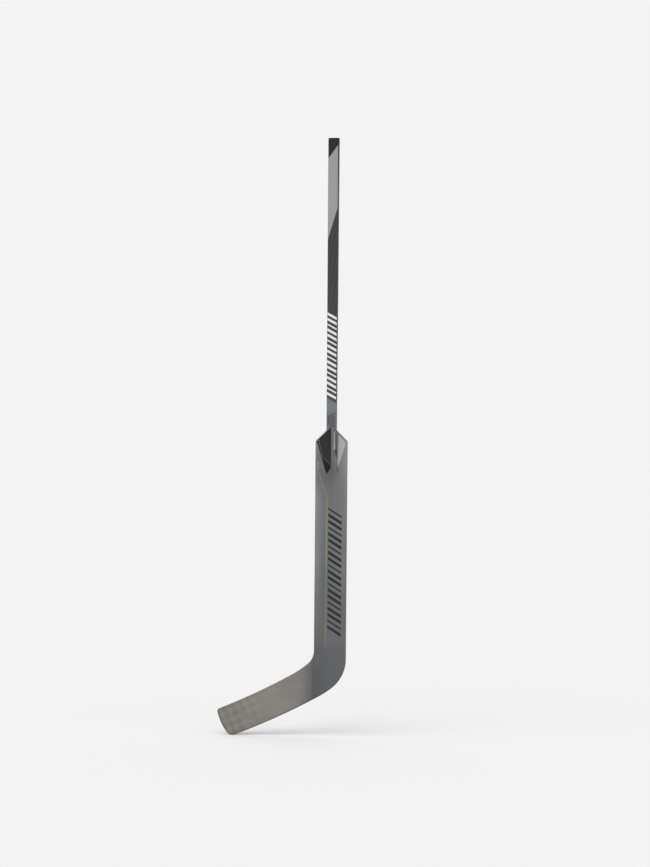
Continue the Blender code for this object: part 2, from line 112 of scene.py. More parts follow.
DEPTH_FADE = (-90.0, 20.0)
HINGE_LARGE = ((-41.4, -27.4), (-12.8, -122.0))
HINGE_SMALL = ((41.0, -38.0), (19.6, -101.0))
WALL_LARGE, WALL_SMALL = -0.7, 17.3  # where the two facets stop at the spine
STRIPE = (6.0, 11.4)  # the groove down the spine
FACET_SLOPE = 0.07


# ---------------------------------------------------------------- the outline
def follow(x, z, heading, pieces):
    """Points along straight runs and arcs; a piece is (radius, length, count)."""
    places = [Vector((x, z))]
    for radius, length, count in pieces:
        for _ in range(count):
            turn = length / count / radius
            mid = heading - turn / 2
            chord = 2 * radius * math.sin(turn / 2)
            x -= math.cos(mid) * chord
            z -= math.sin(mid) * chord
            heading -= turn
            places.append(Vector((x, z)))
    return places


def bend(p0, corner, p1, count):
    a, b = corner - p0, p1 - corner
    turn = a.angle(b)
    reach = 4 / 3 * math.tan(turn / 4) / math.tan(turn / 2)
    c0, c1 = p0 + a * reach, p1 - b * reach
    made = []
    for i in range(count + 1):
        t = i / count
        made.append(p0 * (1 - t) ** 3 + c0 * 3 * t * (1 - t) ** 2 + c1 * 3 * t * t * (1 - t) + p1 * t**3)
    return made


def toward(a, b, distance):
    return a + (b - a).normalized() * distance


N_SHOULDER, N_CORNER = 14, 10
PADDLE_ROWS = [-54.0 - 7.0 * i for i in range(75)] + [-578.0, -585.0]
N_CROOK, N_BLADE, N_EASE = 28, 40, 7
N_HEEL = (20, 5, 3)
N_TOE = 18


def side(sign, radius, bend_start, pieces):
    neck = Vector((sign * SHAFT_WIDTH_FOOT / 2, -0.15))
    half = sign * PADDLE_HALF
    corner = Vector((half, -(PADDLE_HALF - SHAFT_WIDTH_FOOT / 2) - 0.15))
    trim = radius * math.tan(math.radians(22.5))
    start = toward(corner, neck, trim)
    line = [neck.lerp(start, i / N_SHOULDER) for i in range(N_SHOULDER)]
    line += bend(start, corner, corner - Vector((0, trim)), N_CORNER)
    line += [Vector((half, z)) for z in PADDLE_ROWS]
    return line + follow(half, bend_start, math.pi / 2, pieces)


def arc(pair, count):
    return (pair[0], pair[0] * math.radians(pair[1]), count)


inner_line = side(-1, SHOULDER_ROUND_INNER, CROOK_START, [
    arc(CROOK_ARCS[0], N_CROOK), arc(CROOK_ARCS[1], N_EASE), (BLADE_RADIUS, BLADE_TOP_RUN, N_BLADE - N_EASE)])
outer_line = side(1, SHOULDER_ROUND_OUTER, HEEL_START, [
    arc(HEEL_ARCS[0], N_HEEL[0]), arc(HEEL_ARCS[1], N_HEEL[1]),
    (BLADE_RADIUS, SEAM_RUN, N_HEEL[2]), (BLADE_RADIUS, BLADE_SOLE_RUN - SEAM_RUN, N_BLADE)])
toe_top, toe_sole = inner_line[-1], outer_line[-1]
toe_chord = toe_sole - toe_top
toe_out = Vector((toe_chord.y, -toe_chord.x)).normalized()
if toe_out.x > 0:
    toe_out.negate()


def toe_arc(t):
    return toe_top + toe_chord * t + toe_out * (4 * TOE_SAGITTA * t * (1 - t))


def trim_end(points, distance):
    """The line with this much taken off, with the same number of points."""
    points = list(points)
    count = len(points)
    while (points[-1] - points[-2]).length < distance:
        distance -= (points[-1] - points[-2]).length
        points.pop()
    points[-1] = toward(points[-1], points[-2], distance)
    while len(points) < count:
        points.insert(-1, points[-2].lerp(points[-1], 0.5))
    return points


def toe_corner(line, radius, from_top):
    corner = line[-1]
    ahead = toe_arc(0.02 if from_top else 0.98) - corner
    turn = (line[-1] - line[-2]).angle(ahead)
    trim = radius * math.tan(turn / 2)
    on_toe = trim / toe_chord.length
    end = toe_arc(on_toe if from_top else 1 - on_toe)
    cut = trim_end(line, trim)
    return cut, bend(cut[-1], corner, end, N_CORNER), on_toe


inner_cut, corner_top, toe_t0 = toe_corner(inner_line, TOE_ROUND_TOP, True)
outer_cut, corner_sole, toe_t1 = toe_corner(outer_line, TOE_ROUND_SOLE, False)
INNER = inner_cut + corner_top[1:]
OUTER = outer_cut + corner_sole[1:]

K_PADDLE = N_SHOULDER + N_CORNER
K_BEND = K_PADDLE + len(PADDLE_ROWS) + 1
K_BLADE = K_BEND + N_CROOK
K_TOE = K_BLADE + N_BLADE
K_END = K_TOE + N_CORNER
TOE_LINE = [toe_arc(toe_t0 + (1 - toe_t1 - toe_t0) * i / N_TOE) for i in range(1, N_TOE)]
OUTLINE = np.array([tuple(p) for p in INNER + TOE_LINE + OUTER[::-1]])


def inward(points, sign):
    found = []
    for i, p in enumerate(points):
        if i == 0:
            found.append(Vector((-sign * math.sqrt(2), 0)))
            continue
        before = (p - points[i - 1]).normalized()
        after = (points[i + 1] - p).normalized() if i + 1 < len(points) else before
        n0 = Vector((before.y, -before.x)) * sign
        n1 = Vector((after.y, -after.x)) * sign
        mid = (n0 + n1).normalized()
        found.append(mid / max(0.5, mid.dot(n0)))
    return found


INNER_IN, OUTER_IN = inward(INNER, -1), inward(OUTER, 1)


def at(values, k):
    i = min(len(values) - 2, int(math.floor(k)))
    return values[i].lerp(values[i + 1], k - i)


def rail_width(k):
    return RAIL_NECK + (RAIL_WIDTH - RAIL_NECK) * min(1.0, k / N_SHOULDER)


def edge_point(inner, k, extra=0.0):
    line, into = (INNER, INNER_IN) if inner else (OUTER, OUTER_IN)
    return at(line, k) + at(into, k) * (rail_width(k) + extra)


def stations(first, last):
    inside = [float(k) for k in range(math.ceil(first + 1e-6), math.floor(last - 1e-6) + 1)]
    return [first] + inside + [last]


# ---------------------------------------------------------------- the faces, as heights over (x, z)
def smooth(x):
    x = np.clip(x, 0.0, 1.0)
    return x * x * (3 - 2 * x)


DIR = (-math.cos(BLADE_ANGLE), -math.sin(BLADE_ANGLE))
UP = (DIR[1], -DIR[0])


def blade_place(x, z):
    dx, dz = x - BLADE_START[0], z - BLADE_START[1]
    return dx * DIR[0] + dz * DIR[1], dx * UP[0] + dz * UP[1]


def depth(x, z):
    along, _ = blade_place(x, z)
    blade = BLADE_DEPTH_ROOT + (BLADE_DEPTH_TOE - BLADE_DEPTH_ROOT) * np.clip(along / BLADE_LENGTH, 0, 1)
    share = smooth((along - DEPTH_FADE[0]) / (DEPTH_FADE[1] - DEPTH_FADE[0]))
    base = PADDLE_DEPTH + (blade - PADDLE_DEPTH) * share
    return base + (SHAFT_DEPTH - PADDLE_DEPTH) * smooth(1 + z / THROAT_FADE)


def middle(x, z):
    along, above = blade_place(x, z)
    share = np.maximum(0.0, along) / BLADE_LENGTH
    return -BLADE_CURVE * share**2 + math.tan(BLADE_OPENING) * above * share**1.6


def edge_distance(x, z):
    """How far each point is from the outline."""
    p = np.stack([x, z], -1).reshape(-1, 1, 2)
    a = OUTLINE[:-1][None]
    b = OUTLINE[1:][None]
    ab = b - a
    t = np.clip(((p - a) * ab).sum(-1) / (ab * ab).sum(-1), 0, 1)
    near = a + ab * t[..., None]
    return np.sqrt(((p - near) ** 2).sum(-1)).min(-1).reshape(x.shape)


def hinge_distance(x, z, hinge):
    """How far a point is from a hinge line, on the side of the neck."""
    (ax, az), (bx, bz) = hinge
    length = math.hypot(bx - ax, bz - az)
    nx, nz = -(bz - az) / length, (bx - ax) / length
    if nz < 0:
        nx, nz = -nx, -nz
    return np.maximum(0.0, (x - ax) * nx + (z - az) * nz)


def line_side(x, z, a, b):
    """Signed distance from the line a to b; positive on its left."""
    dx, dz = b[0] - a[0], b[1] - a[1]
    return ((z - a[1]) * dx - (x - a[0]) * dz) / math.hypot(dx, dz)


def relief(x, z, face):
    """How far the facets and the groove at the throat lie below the face."""
    x = x if face < 0 else -x
    large = FACET_SLOPE * hinge_distance(x, z, HINGE_LARGE)
    large = large * np.clip((WALL_LARGE - x) / 0.7, 0, 1)
    large = large * np.clip(line_side(x, z, HINGE_LARGE[1], (WALL_LARGE, -105.6)) / 0.7, 0, 1)
    small = FACET_SLOPE * hinge_distance(x, z, HINGE_SMALL)
    small = small * np.clip((x - WALL_SMALL) / 0.7, 0, 1) * np.clip((z + 101.0) / 0.8, 0, 1) * np.clip((-z - 9.0) / 1.6, 0, 1)
    neck = np.maximum(0.0, -z - 0.2) * 0.62
    centre, wide = (STRIPE[0] + STRIPE[1]) / 2, (STRIPE[1] - STRIPE[0]) / 2 + 0.2
    half = wide * np.clip((z + 60.5) / 10.5, 0, 1) * np.clip((-z - 0.6) / 3.0, 0, 1)
    groove = 0.85 * smooth((half - np.abs(x - centre)) / 0.9)
    return np.minimum(np.maximum(large, small), neck) + np.minimum(groove, neck)


def face_height(x, z, face, below=0.0):
    """Y of the front (-1) or back (1) face of the paddle and blade."""
    x, z = np.asarray(x, float), np.asarray(z, float)
    thick = depth(x, z)
    dist = edge_distance(x, z)
    r = np.minimum(EDGE_ROUND, 0.45 * thick)
    off = np.clip(r - dist, 0, r)
    drop = r - np.sqrt(r * r - off * off)
    crown = CROWN * smooth(1 - dist / 16.0) * smooth(-z / 30.0)
    return middle(x, z) + face * (thick / 2 - drop - crown - relief(x, z, face) - below)


def shaft_width(z):
    return SHAFT_WIDTH_FOOT + (SHAFT_WIDTH_BUTT - SHAFT_WIDTH_FOOT) * z / SHAFT_LENGTH


def shaft_height(x, z, face, below=0.0):
    """Y of the shaft's front or back, over its rounded corners."""
    x, z = np.asarray(x, float), np.asarray(z, float)
    off = np.clip(SHAFT_CORNER - (shaft_width(z) / 2 - np.abs(x)), 0, SHAFT_CORNER)
    return face * (SHAFT_DEPTH / 2 - SHAFT_CORNER + np.sqrt(SHAFT_CORNER**2 - off**2) - below)


# ---------------------------------------------------------------- mesh builders
def finish_mesh(name, verts, faces, mat, slot, nodes=(), angle=28):
    mesh = bpy.data.meshes.new(name)
    mesh.from_pydata([tuple(float(c) * MM for c in v) for v in verts], [], faces)
    bm = bmesh.new()
    bm.from_mesh(mesh)
    bmesh.ops.remove_doubles(bm, verts=bm.verts, dist=2e-7)
    bmesh.ops.dissolve_degenerate(bm, edges=bm.edges, dist=1e-7)
    bmesh.ops.recalc_face_normals(bm, faces=bm.faces)
    bm.to_mesh(mesh)
    bm.free()
    mesh.materials.append(mat)
    mesh.shade_smooth()
    mesh.set_sharp_from_angle(angle=math.radians(angle))
    obj = bpy.data.objects.new(name, mesh)
    bpy.context.scene.collection.objects.link(obj)
    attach(obj, "root")
    if nodes:
        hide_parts(*nodes)
    return obj


def inside(points, polygon):
    """Which of the points lie inside a polygon."""
    x, z = points[:, 0][:, None], points[:, 1][:, None]
    a, b = polygon, np.roll(polygon, -1, axis=0)
    cross = (a[:, 1] > z) != (b[:, 1] > z)
    with np.errstate(divide="ignore", invalid="ignore"):
        at_x = a[:, 0] + (z - a[:, 1]) * (b[:, 0] - a[:, 0]) / (b[:, 1] - a[:, 1])
    return (cross & (x < at_x)).sum(1) % 2 == 1


def near_lines(points, segments, reach):
    """Which of the points lie nearer than reach to a segment."""
    close = np.zeros(len(points), bool)
    for a, b in segments:
        a, b = np.array(a), np.array(b)
        ab = b - a
        t = np.clip(((points - a) @ ab) / max(1e-9, ab @ ab), 0, 1)
        close |= np.hypot(*(points - a - t[:, None] * ab).T) < reach
    return close


def patch(outline, spacing, features=(), holes=(), fine=None):
    """A triangulated region of the (x, z) plane, with creases along the features."""
    outline = np.array([tuple(p) for p in outline], float)
    holes = [np.array([tuple(p) for p in h], float) for h in holes]
    loops = [outline] + holes
    points, edges, segments = [], [], []
    for loop in loops:
        base = len(points)
        points += [tuple(p) for p in loop]
        edges += [(base + i, base + (i + 1) % len(loop)) for i in range(len(loop))]
        segments += [(loop[i], loop[(i + 1) % len(loop)]) for i in range(len(loop))]
    for line in features:
        base = len(points)
        points += [tuple(p) for p in line]
        edges += [(base + i, base + i + 1) for i in range(len(line) - 1)]
        segments += [(line[i], line[i + 1]) for i in range(len(line) - 1)]
    low, high = outline.min(0), outline.max(0)
    regions = [(low, high, spacing, None)]
    if fine:
        regions = [(low, high, spacing, fine[0]), (np.array(fine[0][:2]), np.array(fine[0][2:]), fine[1], None)]
    for lo, hi, step, but in regions:
        rows = np.arange(lo[1] + step / 2, hi[1], step * 0.87)
        grid = np.array([
            (x, z) for j, z in enumerate(rows) for x in np.arange(lo[0] + step / 2 * (j % 2), hi[0], step)
        ] or [(1e9, 1e9)])
        keep = inside(grid, outline)
        for hole in holes:
            keep &= ~inside(grid, hole)
        if but is not None:
            keep &= ~((grid[:, 0] > but[0]) & (grid[:, 0] < but[2]) & (grid[:, 1] > but[1]) & (grid[:, 1] < but[3]))
        grid = grid[keep]
        grid = grid[~near_lines(grid, segments, step * 0.45)]
        points += [tuple(p) for p in grid]
    made, _, faces, _, _, _ = delaunay_2d_cdt([Vector(p) for p in points], edges, [], 0, 1e-5)
    flat = np.array([tuple(p) for p in made])
    tris = np.array([f for f in faces if len(f) == 3])
    centre = flat[tris].mean(1)
    keep = inside(centre, outline)
    for hole in holes:
        keep &= ~inside(centre, hole)
    tris = tris[keep]
    used = np.unique(tris)
    index = np.full(len(flat), -1)
    index[used] = np.arange(len(used))
    return flat[used], index[tris]


def slab(name, region, top, bottom, mat, slot, nodes=(), angle=28):
    """A closed sheet over a region, between two heights."""
    parts = region if isinstance(region, list) else [region]
    verts, faces = [], []
    for flat, tris in parts:
        base, n = len(verts), len(flat)
        x, z = flat[:, 0], flat[:, 1]
        verts += list(np.stack([x, top(x, z), z], -1)) + list(np.stack([x, bottom(x, z), z], -1))
        count = {}
        for a, b, c in tris:
            faces.append((base + a, base + b, base + c))
            faces.append((base + n + c, base + n + b, base + n + a))
            for e in ((a, b), (b, c), (c, a)):
                count[tuple(sorted(e))] = count.get(tuple(sorted(e)), 0) + 1
        for (a, b), times in count.items():
            if times == 1:
                faces.append((base + a, base + b, base + n + b, base + n + a))
    return finish_mesh(name, verts, faces, mat, slot, nodes, angle)


def loft(name, rings, mat, slot, nodes=(), angle=28):
    count = len(rings[0])
    verts = [p for ring in rings for p in ring]
    faces = [tuple(range(count)), tuple(range((len(rings) - 1) * count, len(rings) * count))]
    for i in range(len(rings) - 1):
        for j in range(count):
            k = (j + 1) % count
            faces.append((i * count + j, i * count + k, (i + 1) * count + k, (i + 1) * count + j))
    return finish_mesh(name, verts, faces, mat, slot, nodes, angle)


def rim(name, pairs, mat, slot, nodes=()):
    """An edge piece, rounded over its outer side."""
    rings = []
    for outer, inner in pairs:
        width = (inner - outer).length
        into = (inner - outer) / width
        r = float(min(EDGE_ROUND, 0.45 * depth(outer.x, outer.y)))
        most = math.acos(max(-1.0, 1 - min(r, width * 0.97) / r))
        offs = [r * (1 - math.cos(most * i / 9)) for i in range(10)]
        if width > r * 1.02:
            offs.append((offs[-1] + width) / 2)
        else:
            offs.append((offs[-1] + width) / 2)
        offs.append(width)
        pts = np.array([tuple(outer + into * d) for d in offs])
        front = face_height(pts[:, 0], pts[:, 1], -1)
        back = face_height(pts[:, 0], pts[:, 1], 1)
        ring = [(p[0], y, p[1]) for p, y in zip(pts[::-1], front[::-1])]
        ring += [(p[0], y, p[1]) for p, y in zip(pts, back)]
        rings.append(ring)
    return loft(name, rings, mat, slot, nodes)


def side_pairs(inner, first, last):
    line = INNER if inner else OUTER
    return [(at(line, k), edge_point(inner, k)) for k in stations(first, last)]


def rounded_ring(width, thick, radius, z, count=10):
    ring = []
    for sx, sy, start in ((1, 1, 0), (-1, 1, 90), (-1, -1, 180), (1, -1, 270)):
        cx, cy = sx * (width / 2 - radius), sy * (thick / 2 - radius)
        for i in range(count + 1):
            a = math.radians(start + 90 * i / count)
            ring.append((cx + radius * math.cos(a), cy + radius * math.sin(a), z))
    return ring


# ---------------------------------------------------------------- materials
LIGHT_GAIN = 0.95
LIGHT_LIFT = 0.025
MATT_LIFT = 0.013


def linear(value):
    value = value / 255.0
    return value / 12.92 if value <= 0.04045 else ((value + 0.055) / 1.055) ** 2.4


def paint(r, g, b):
    """The base colour of lacquer that reads as this display colour under the studio light."""
    return tuple(max(0.004, (linear(c) - LIGHT_LIFT) / LIGHT_GAIN) for c in (r, g, b)) + (1.0,)


def matt(r, g, b):
    """The same for a dull surface."""
    return tuple(max(0.004, (linear(c) - MATT_LIFT) / LIGHT_GAIN) for c in (r, g, b)) + (1.0,)


def greys(pairs, tint=(-1.5, 0.5, 1.5)):
    """Ramp stops from (place, level)."""
    return [(place, paint(*(level + t for t in tint))) for place, level in pairs]


class Net:
    """A material's node tree, with short ways to add nodes to it."""

    def __init__(self, name, **shader):
        self.mat = bpy.data.materials.new(name)
        self.mat.use_nodes = True
        self.tree = self.mat.node_tree
        self.shader = self.tree.nodes["Principled BSDF"]
        for key, value in shader.items():
            self.shader.inputs[key.replace("_", " ")].default_value = value
        coordinates = self.tree.nodes.new("ShaderNodeTexCoord")
        self.position = coordinates.outputs["Object"]
        split = self.tree.nodes.new("ShaderNodeSeparateXYZ")
        self.tree.links.new(self.position, split.inputs[0])
        scale = [self.math("MULTIPLY", split.outputs[i], 1000.0) for i in range(3)]
        self.x, self.y, self.z = scale

    def put(self, socket, value):
        if isinstance(value, bpy.types.NodeSocket):
            self.tree.links.new(value, socket)
        elif socket.type == "VECTOR":
            socket.default_value = tuple(value)[:3]
        else:
            socket.default_value = value

    def math(self, op, a, b=None, c=None, clamp=False):
        node = self.tree.nodes.new("ShaderNodeMath")
        node.operation = op
        node.use_clamp = clamp
        for socket, value in zip(node.inputs, (a, b, c)):
            if value is not None:
                self.put(socket, value)
        return node.outputs[0]

    def add(self, *values):
        total = values[0]
        for value in values[1:]:
            total = self.math("ADD", total, value)
        return total

    def times(self, a, b):
        return self.math("MULTIPLY", a, b)

    def minus(self, a, b):
        return self.math("SUBTRACT", a, b)

    def plane(self, a, b, c=0.0):
        """a*x + b*z + c"""
        return self.math("MULTIPLY_ADD", self.x, a, self.math("MULTIPLY_ADD", self.z, b, c))

    def step(self, value, soft=0.3):
        """0 below zero and 1 above it, over a narrow band."""
        return self.math("MULTIPLY_ADD", value, 1.0 / soft, 0.5, clamp=True)

    def fade(self, value, low, high):
        node = self.tree.nodes.new("ShaderNodeMapRange")
        node.interpolation_type = "SMOOTHSTEP"
        self.put(node.inputs["Value"], value)
        node.inputs["From Min"].default_value = low
        node.inputs["From Max"].default_value = high
        return node.outputs[0]

    def both(self, a, b):
        return self.math("MINIMUM", a, b)

    def mix(self, share, a, b, kind="MIX"):
        node = self.tree.nodes.new("ShaderNodeMix")
        node.data_type = "RGBA"
        node.blend_type = kind
        self.put(node.inputs[0], share)
        self.put(node.inputs[6], a)
        self.put(node.inputs[7], b)
        return node.outputs[2]

    def mix_value(self, share, a, b):
        return self.math("MULTIPLY_ADD", share, self.minus(b, a), a)

    def ramp(self, value, stops, low, high):
        """A colour for each value; stops are (value, colour)."""
        scaled = self.math("MULTIPLY_ADD", value, 1.0 / (high - low), -low / (high - low), clamp=True)
        node = self.tree.nodes.new("ShaderNodeValToRGB")
        ramp = node.color_ramp
        while len(ramp.elements) < len(stops):
            ramp.elements.new(0.5)
        for element, (value_at, colour) in zip(ramp.elements, sorted(stops, key=lambda s: s[0])):
            element.position = (value_at - low) / (high - low)
        for element, (value_at, colour) in zip(ramp.elements, sorted(stops, key=lambda s: s[0])):
            element.color = colour
        self.put(node.inputs[0], scaled)
        return node.outputs[0]

    def noise(self, scale, stretch=(1, 1, 1), detail=3.0, rough=0.55, turn=(0, 0, 0)):
        mapping = self.tree.nodes.new("ShaderNodeMapping")
        mapping.inputs["Scale"].default_value = stretch
        mapping.inputs["Rotation"].default_value = turn
        self.put(mapping.inputs[0], self.position)
        node = self.tree.nodes.new("ShaderNodeTexNoise")
        node.inputs["Scale"].default_value = scale
        node.inputs["Detail"].default_value = detail
        node.inputs["Roughness"].default_value = rough
        self.put(node.inputs["Vector"], mapping.outputs[0])
        return node.outputs[0]

    def twill(self, u, v, size):
        """A 2x2 twill: (which way the tow runs, how high the cloth stands)."""
        a = self.math("DIVIDE", u, size)
        b = self.math("DIVIDE", v, size)
        cell = self.add(self.math("FLOOR", a), self.math("FLOOR", b))
        over = self.math("LESS_THAN", self.math("FLOORED_MODULO", cell, 4.0), 1.5)
        fa = self.minus(self.math("FRACT", a), 0.5)
        fb = self.minus(self.math("FRACT", b), 0.5)
        ha = self.minus(1.0, self.times(self.times(fa, fa), 3.6))
        hb = self.minus(1.0, self.times(self.times(fb, fb), 3.6))
        height = self.add(self.times(over, ha), self.times(self.minus(1.0, over), hb))
        return over, height

    def bump(self, height, distance, strength=1.0, after=None):
        node = self.tree.nodes.new("ShaderNodeBump")
        node.inputs["Strength"].default_value = strength
        node.inputs["Distance"].default_value = distance * MM
        self.put(node.inputs["Height"], height)
        if after is not None:
            self.put(node.inputs["Normal"], after)
        return node.outputs[0]

    def shade(self, colour, amount):
        """A colour made lighter or darker; amount is 1 where it stays."""
        node = self.tree.nodes.new("ShaderNodeVectorMath")
        node.operation = "SCALE"
        self.put(node.inputs[0], colour)
        self.put(node.inputs["Scale"], amount)
        return node.outputs[0]

    def end(self, colour, roughness=None, normal=None, coat_normal=None):
        self.put(self.shader.inputs["Base Color"], colour)
        if roughness is not None:
            self.put(self.shader.inputs["Roughness"], roughness)
        if normal is not None:
            self.put(self.shader.inputs["Normal"], normal)
        if coat_normal is not None:
            self.put(self.shader.inputs["Coat Normal"], coat_normal)
        return self.mat


def wear(net, base, amount=0.05):
    """Rub marks and hairline scratches in a roughness value."""
    rub = net.noise(9.0, (1, 1, 0.35), 4.0, 0.6)
    hair = net.noise(60.0, (14, 14, 0.5), 2.0, 0.5, (0, 0.35, 0))
    scratch = net.fade(hair, 0.66, 0.72)
    return net.math("MULTIPLY_ADD", scratch, amount * 1.5, net.math("MULTIPLY_ADD", rub, amount * 2, base - amount), clamp=True)


def surface_normal(net, weave_height, weave_depth=0.035, peel=0.02):
    """Cloth under lacquer: a fine weave, then the lacquer's own ripple."""
    first = net.bump(weave_height, weave_depth)
    ripple = net.noise(260.0, (1, 1, 1), 1.0)
    return net.bump(ripple, peel, 1.0, first)


GLOSS = {"Coat_Weight": 0.20, "Coat_Roughness": 0.20, "Specular_IOR_Level": 0.35, "IOR": 1.5}


# the paddle's paint, as (z, level) down four lines at these x; the lighter outer lines at x -38 and 35 also hold
# painted highlight of the edges catching the light
PAINT_X = (-38.0, -21.0, 1.0, 35.0)
PAINT_AND_HIGHLIGHT_LEVELS = (
    ((0, 118), (-44, 122), (-60, 116), (-77, 112), (-94, 109), (-126, 112), (-142, 115), (-159, 120), (-176, 125), (-192, 130),
     (-247, 128), (-301, 127), (-356, 126), (-411, 119), (-466, 112), (-521, 108), (-575, 100), (-603, 94), (-630, 95), (-658, 91)),
    ((0, 108), (-94, 106), (-110, 104), (-126, 101), (-142, 102), (-159, 110), (-192, 112), (-247, 115), (-301, 111), (-356, 107),
     (-411, 102), (-466, 101), (-521, 101), (-575, 100), (-603, 94), (-630, 94), (-658, 92)),
    ((0, 103), (-44, 102), (-77, 99), (-110, 92), (-126, 96), (-142, 103), (-159, 106), (-192, 108), (-247, 112), (-301, 110),
     (-356, 108), (-411, 104), (-466, 102), (-521, 102), (-575, 103), (-603, 98), (-630, 96), (-658, 95)),
    ((0, 122), (-44, 127), (-77, 130), (-94, 126), (-126, 123), (-142, 122), (-159, 118), (-192, 116), (-247, 118), (-301, 115),
     (-356, 115), (-411, 114), (-466, 106), (-521, 103), (-575, 103), (-603, 98), (-630, 99), (-658, 97)),
)


def steel_colour(net, mirrored=False):
    """The paddle's paint: steel grey that darkens towards the heel, lighter in bands down both edges as a painted
    highlight of the rounded edges catching the light.
    """
    x = net.times(net.x, -1.0) if mirrored else net.x
    lines = [net.ramp(net.z, greys(levels), -700.0, 0.0) for levels in PAINT_AND_HIGHLIGHT_LEVELS]
    colour = lines[0]
    # mixing across x brings in the lighter edge lines: painted highlight
    for i in range(3):
        share = net.math("MULTIPLY_ADD", x, 1.0 / (PAINT_X[i + 1] - PAINT_X[i]), -PAINT_X[i] / (PAINT_X[i + 1] - PAINT_X[i]), clamp=True)
        colour = net.mix(share, colour, lines[i + 1])
    return colour


def facet_zone(net, hinge, wall, foot, mirrored=False):
    """1 on the neck's side of a hinge line, as far as the spine."""
    (ax, az), (bx, bz) = hinge
    length = math.hypot(bx - ax, bz - az)
    nx, nz = -(bz - az) / length, (bx - ax) / length
    if nz < 0:
        nx, nz = -nx, -nz
    x = net.times(net.x, -1.0) if mirrored else net.x
    past = net.math("MULTIPLY_ADD", x, nx, net.math("MULTIPLY_ADD", net.z, nz, -(ax * nx + az * nz)))
    until = net.math("MULTIPLY_ADD", x, -1.0 if wall < 5 else 1.0, wall if wall < 5 else -wall)
    return net.both(net.both(net.step(past, 0.5), net.step(until, 0.5)), net.step(net.minus(net.z, foot), 0.5))


def khaki_colour(net):
    """The blade's laminate, with the faint checks of its broad tows."""
    along = net.add(net.times(net.x, DIR[0]), net.times(net.z, DIR[1]), -(BLADE_START[0] * DIR[0] + BLADE_START[1] * DIR[1]))
    above = net.add(net.times(net.x, UP[0]), net.times(net.z, UP[1]), -(BLADE_START[0] * UP[0] + BLADE_START[1] * UP[1]))
    base = net.ramp(along, [
        (0.0, paint(127, 126, 122)), (40.0, paint(125, 124, 119)), (120.0, paint(132, 129, 122)),
        (200.0, paint(130, 127, 120)), (285.0, paint(124, 121, 113)),
    ], 0.0, 285.0)
    wander = net.times(net.noise(34.0, (1, 1, 1), 2.0), 9.0)
    u = net.math("DIVIDE", net.add(along, above, wander), 23.0)
    v = net.math("DIVIDE", net.add(along, net.times(above, -1.0), wander), 23.0)
    ripple = net.times(net.math("SINE", net.times(u, math.pi)), net.math("SINE", net.times(v, math.pi)))
    cell = net.math("MULTIPLY_ADD", ripple, 2.4, 0.0, clamp=False)
    cell = net.math("MAXIMUM", net.math("MINIMUM", cell, 1.0), -1.0)
    patchy = net.noise(22.0, (1, 1, 1), 3.0)
    strength = net.times(net.math("MULTIPLY_ADD", net.fade(along, 110.0, 235.0), 0.085, 0.030), net.fade(net.add(patchy, net.times(net.fade(along, 140.0, 230.0), 0.16)), 0.42, 0.58))
    blotch = net.times(net.minus(net.noise(17.0, (1, 1, 1), 5.0, 0.65), 0.5), 0.34)
    streak = net.times(net.minus(net.noise(50.0, (0.25, 1, 1.6), 4.0, 0.6, (0, BLADE_ANGLE, 0)), 0.5), 0.20)
    return net.shade(base, net.add(net.add(1.0, net.times(cell, strength), streak), blotch)), along, above


def laminate(name, colour_of, weave=2.2, roughness=0.36, **more):
    """A painted or clear-coated composite face."""
    net = Net(name, **{**GLOSS, **more})
    colour = colour_of(net)
    over, height = net.twill(net.add(net.x, net.times(net.y, 0.7)), net.z, weave)
    cloud = net.noise(14.0, (1, 1, 0.6), 5.0, 0.62)
    grain = net.noise(420.0, (1, 1, 1), 2.0)
    tone = net.add(0.90, net.times(cloud, 0.12), net.times(over, 0.035), net.times(grain, 0.05))
    return net.end(net.shade(colour, tone), wear(net, roughness), surface_normal(net, height))


def heel_share(net):
    """How far the paddle's paint has given way to the bare blade laminate round the heel."""
    place = net.add(net.x, net.times(net.noise(40.0, (1, 1, 1), 3.0), 3.0))
    share = net.add(net.times(net.fade(place, -46.2, -49.4), 0.26), net.times(net.fade(place, -45.0, -88.0), 0.74))
    return net.both(share, net.fade(net.z, -560.0, -600.0))


def heel_blend(net):
    khaki, _, _ = khaki_colour(net)
    return net.mix(heel_share(net), steel_colour(net), khaki)


def heel_blend_back(net):
    khaki, _, _ = khaki_colour(net)
    return net.mix(heel_share(net), net.shade(steel_colour(net, True), 0.96), khaki)


def rail_colour(net):
    """The rails: the face's paint, lighter down the throat as a painted highlight of the rounded rail, and black beside
    the black facets.
    """
    front = net.step(net.times(net.y, -1.0), 0.4)
    khaki, _, _ = khaki_colour(net)
    steel = net.mix(front, steel_colour(net, True), steel_colour(net))
    # painted highlight: up to 22% lighter from z -20 down to -330, where the rounded rail catches the light
    rail_highlight = net.both(net.fade(net.z, -330.0, -150.0), net.step(net.minus(-20.0, net.z), 20.0))
    steel = net.shade(steel, net.add(1.0, net.times(rail_highlight, 0.22)))
    zone = net.mix_value(front, facet_zone(net, HINGE_LARGE, WALL_LARGE, -120.0, True), facet_zone(net, HINGE_LARGE, WALL_LARGE, -120.0))
    steel = net.mix(zone, steel, paint(52, 52, 51))
    shoulder = net.both(net.step(net.add(net.z, 29.0), 1.0), net.step(net.add(net.z, 45.0), 1.0))
    steel = net.mix(net.both(shoulder, zone), steel, paint(134, 136, 138))
    return net.mix(heel_share(net), steel, khaki)


def binding_painted_shade_colour(net):
    """The edge of the blade at 0.84 of its faces' colour: painted shade along the rounded edges."""
    return net.shade(heel_blend(net), 0.84)


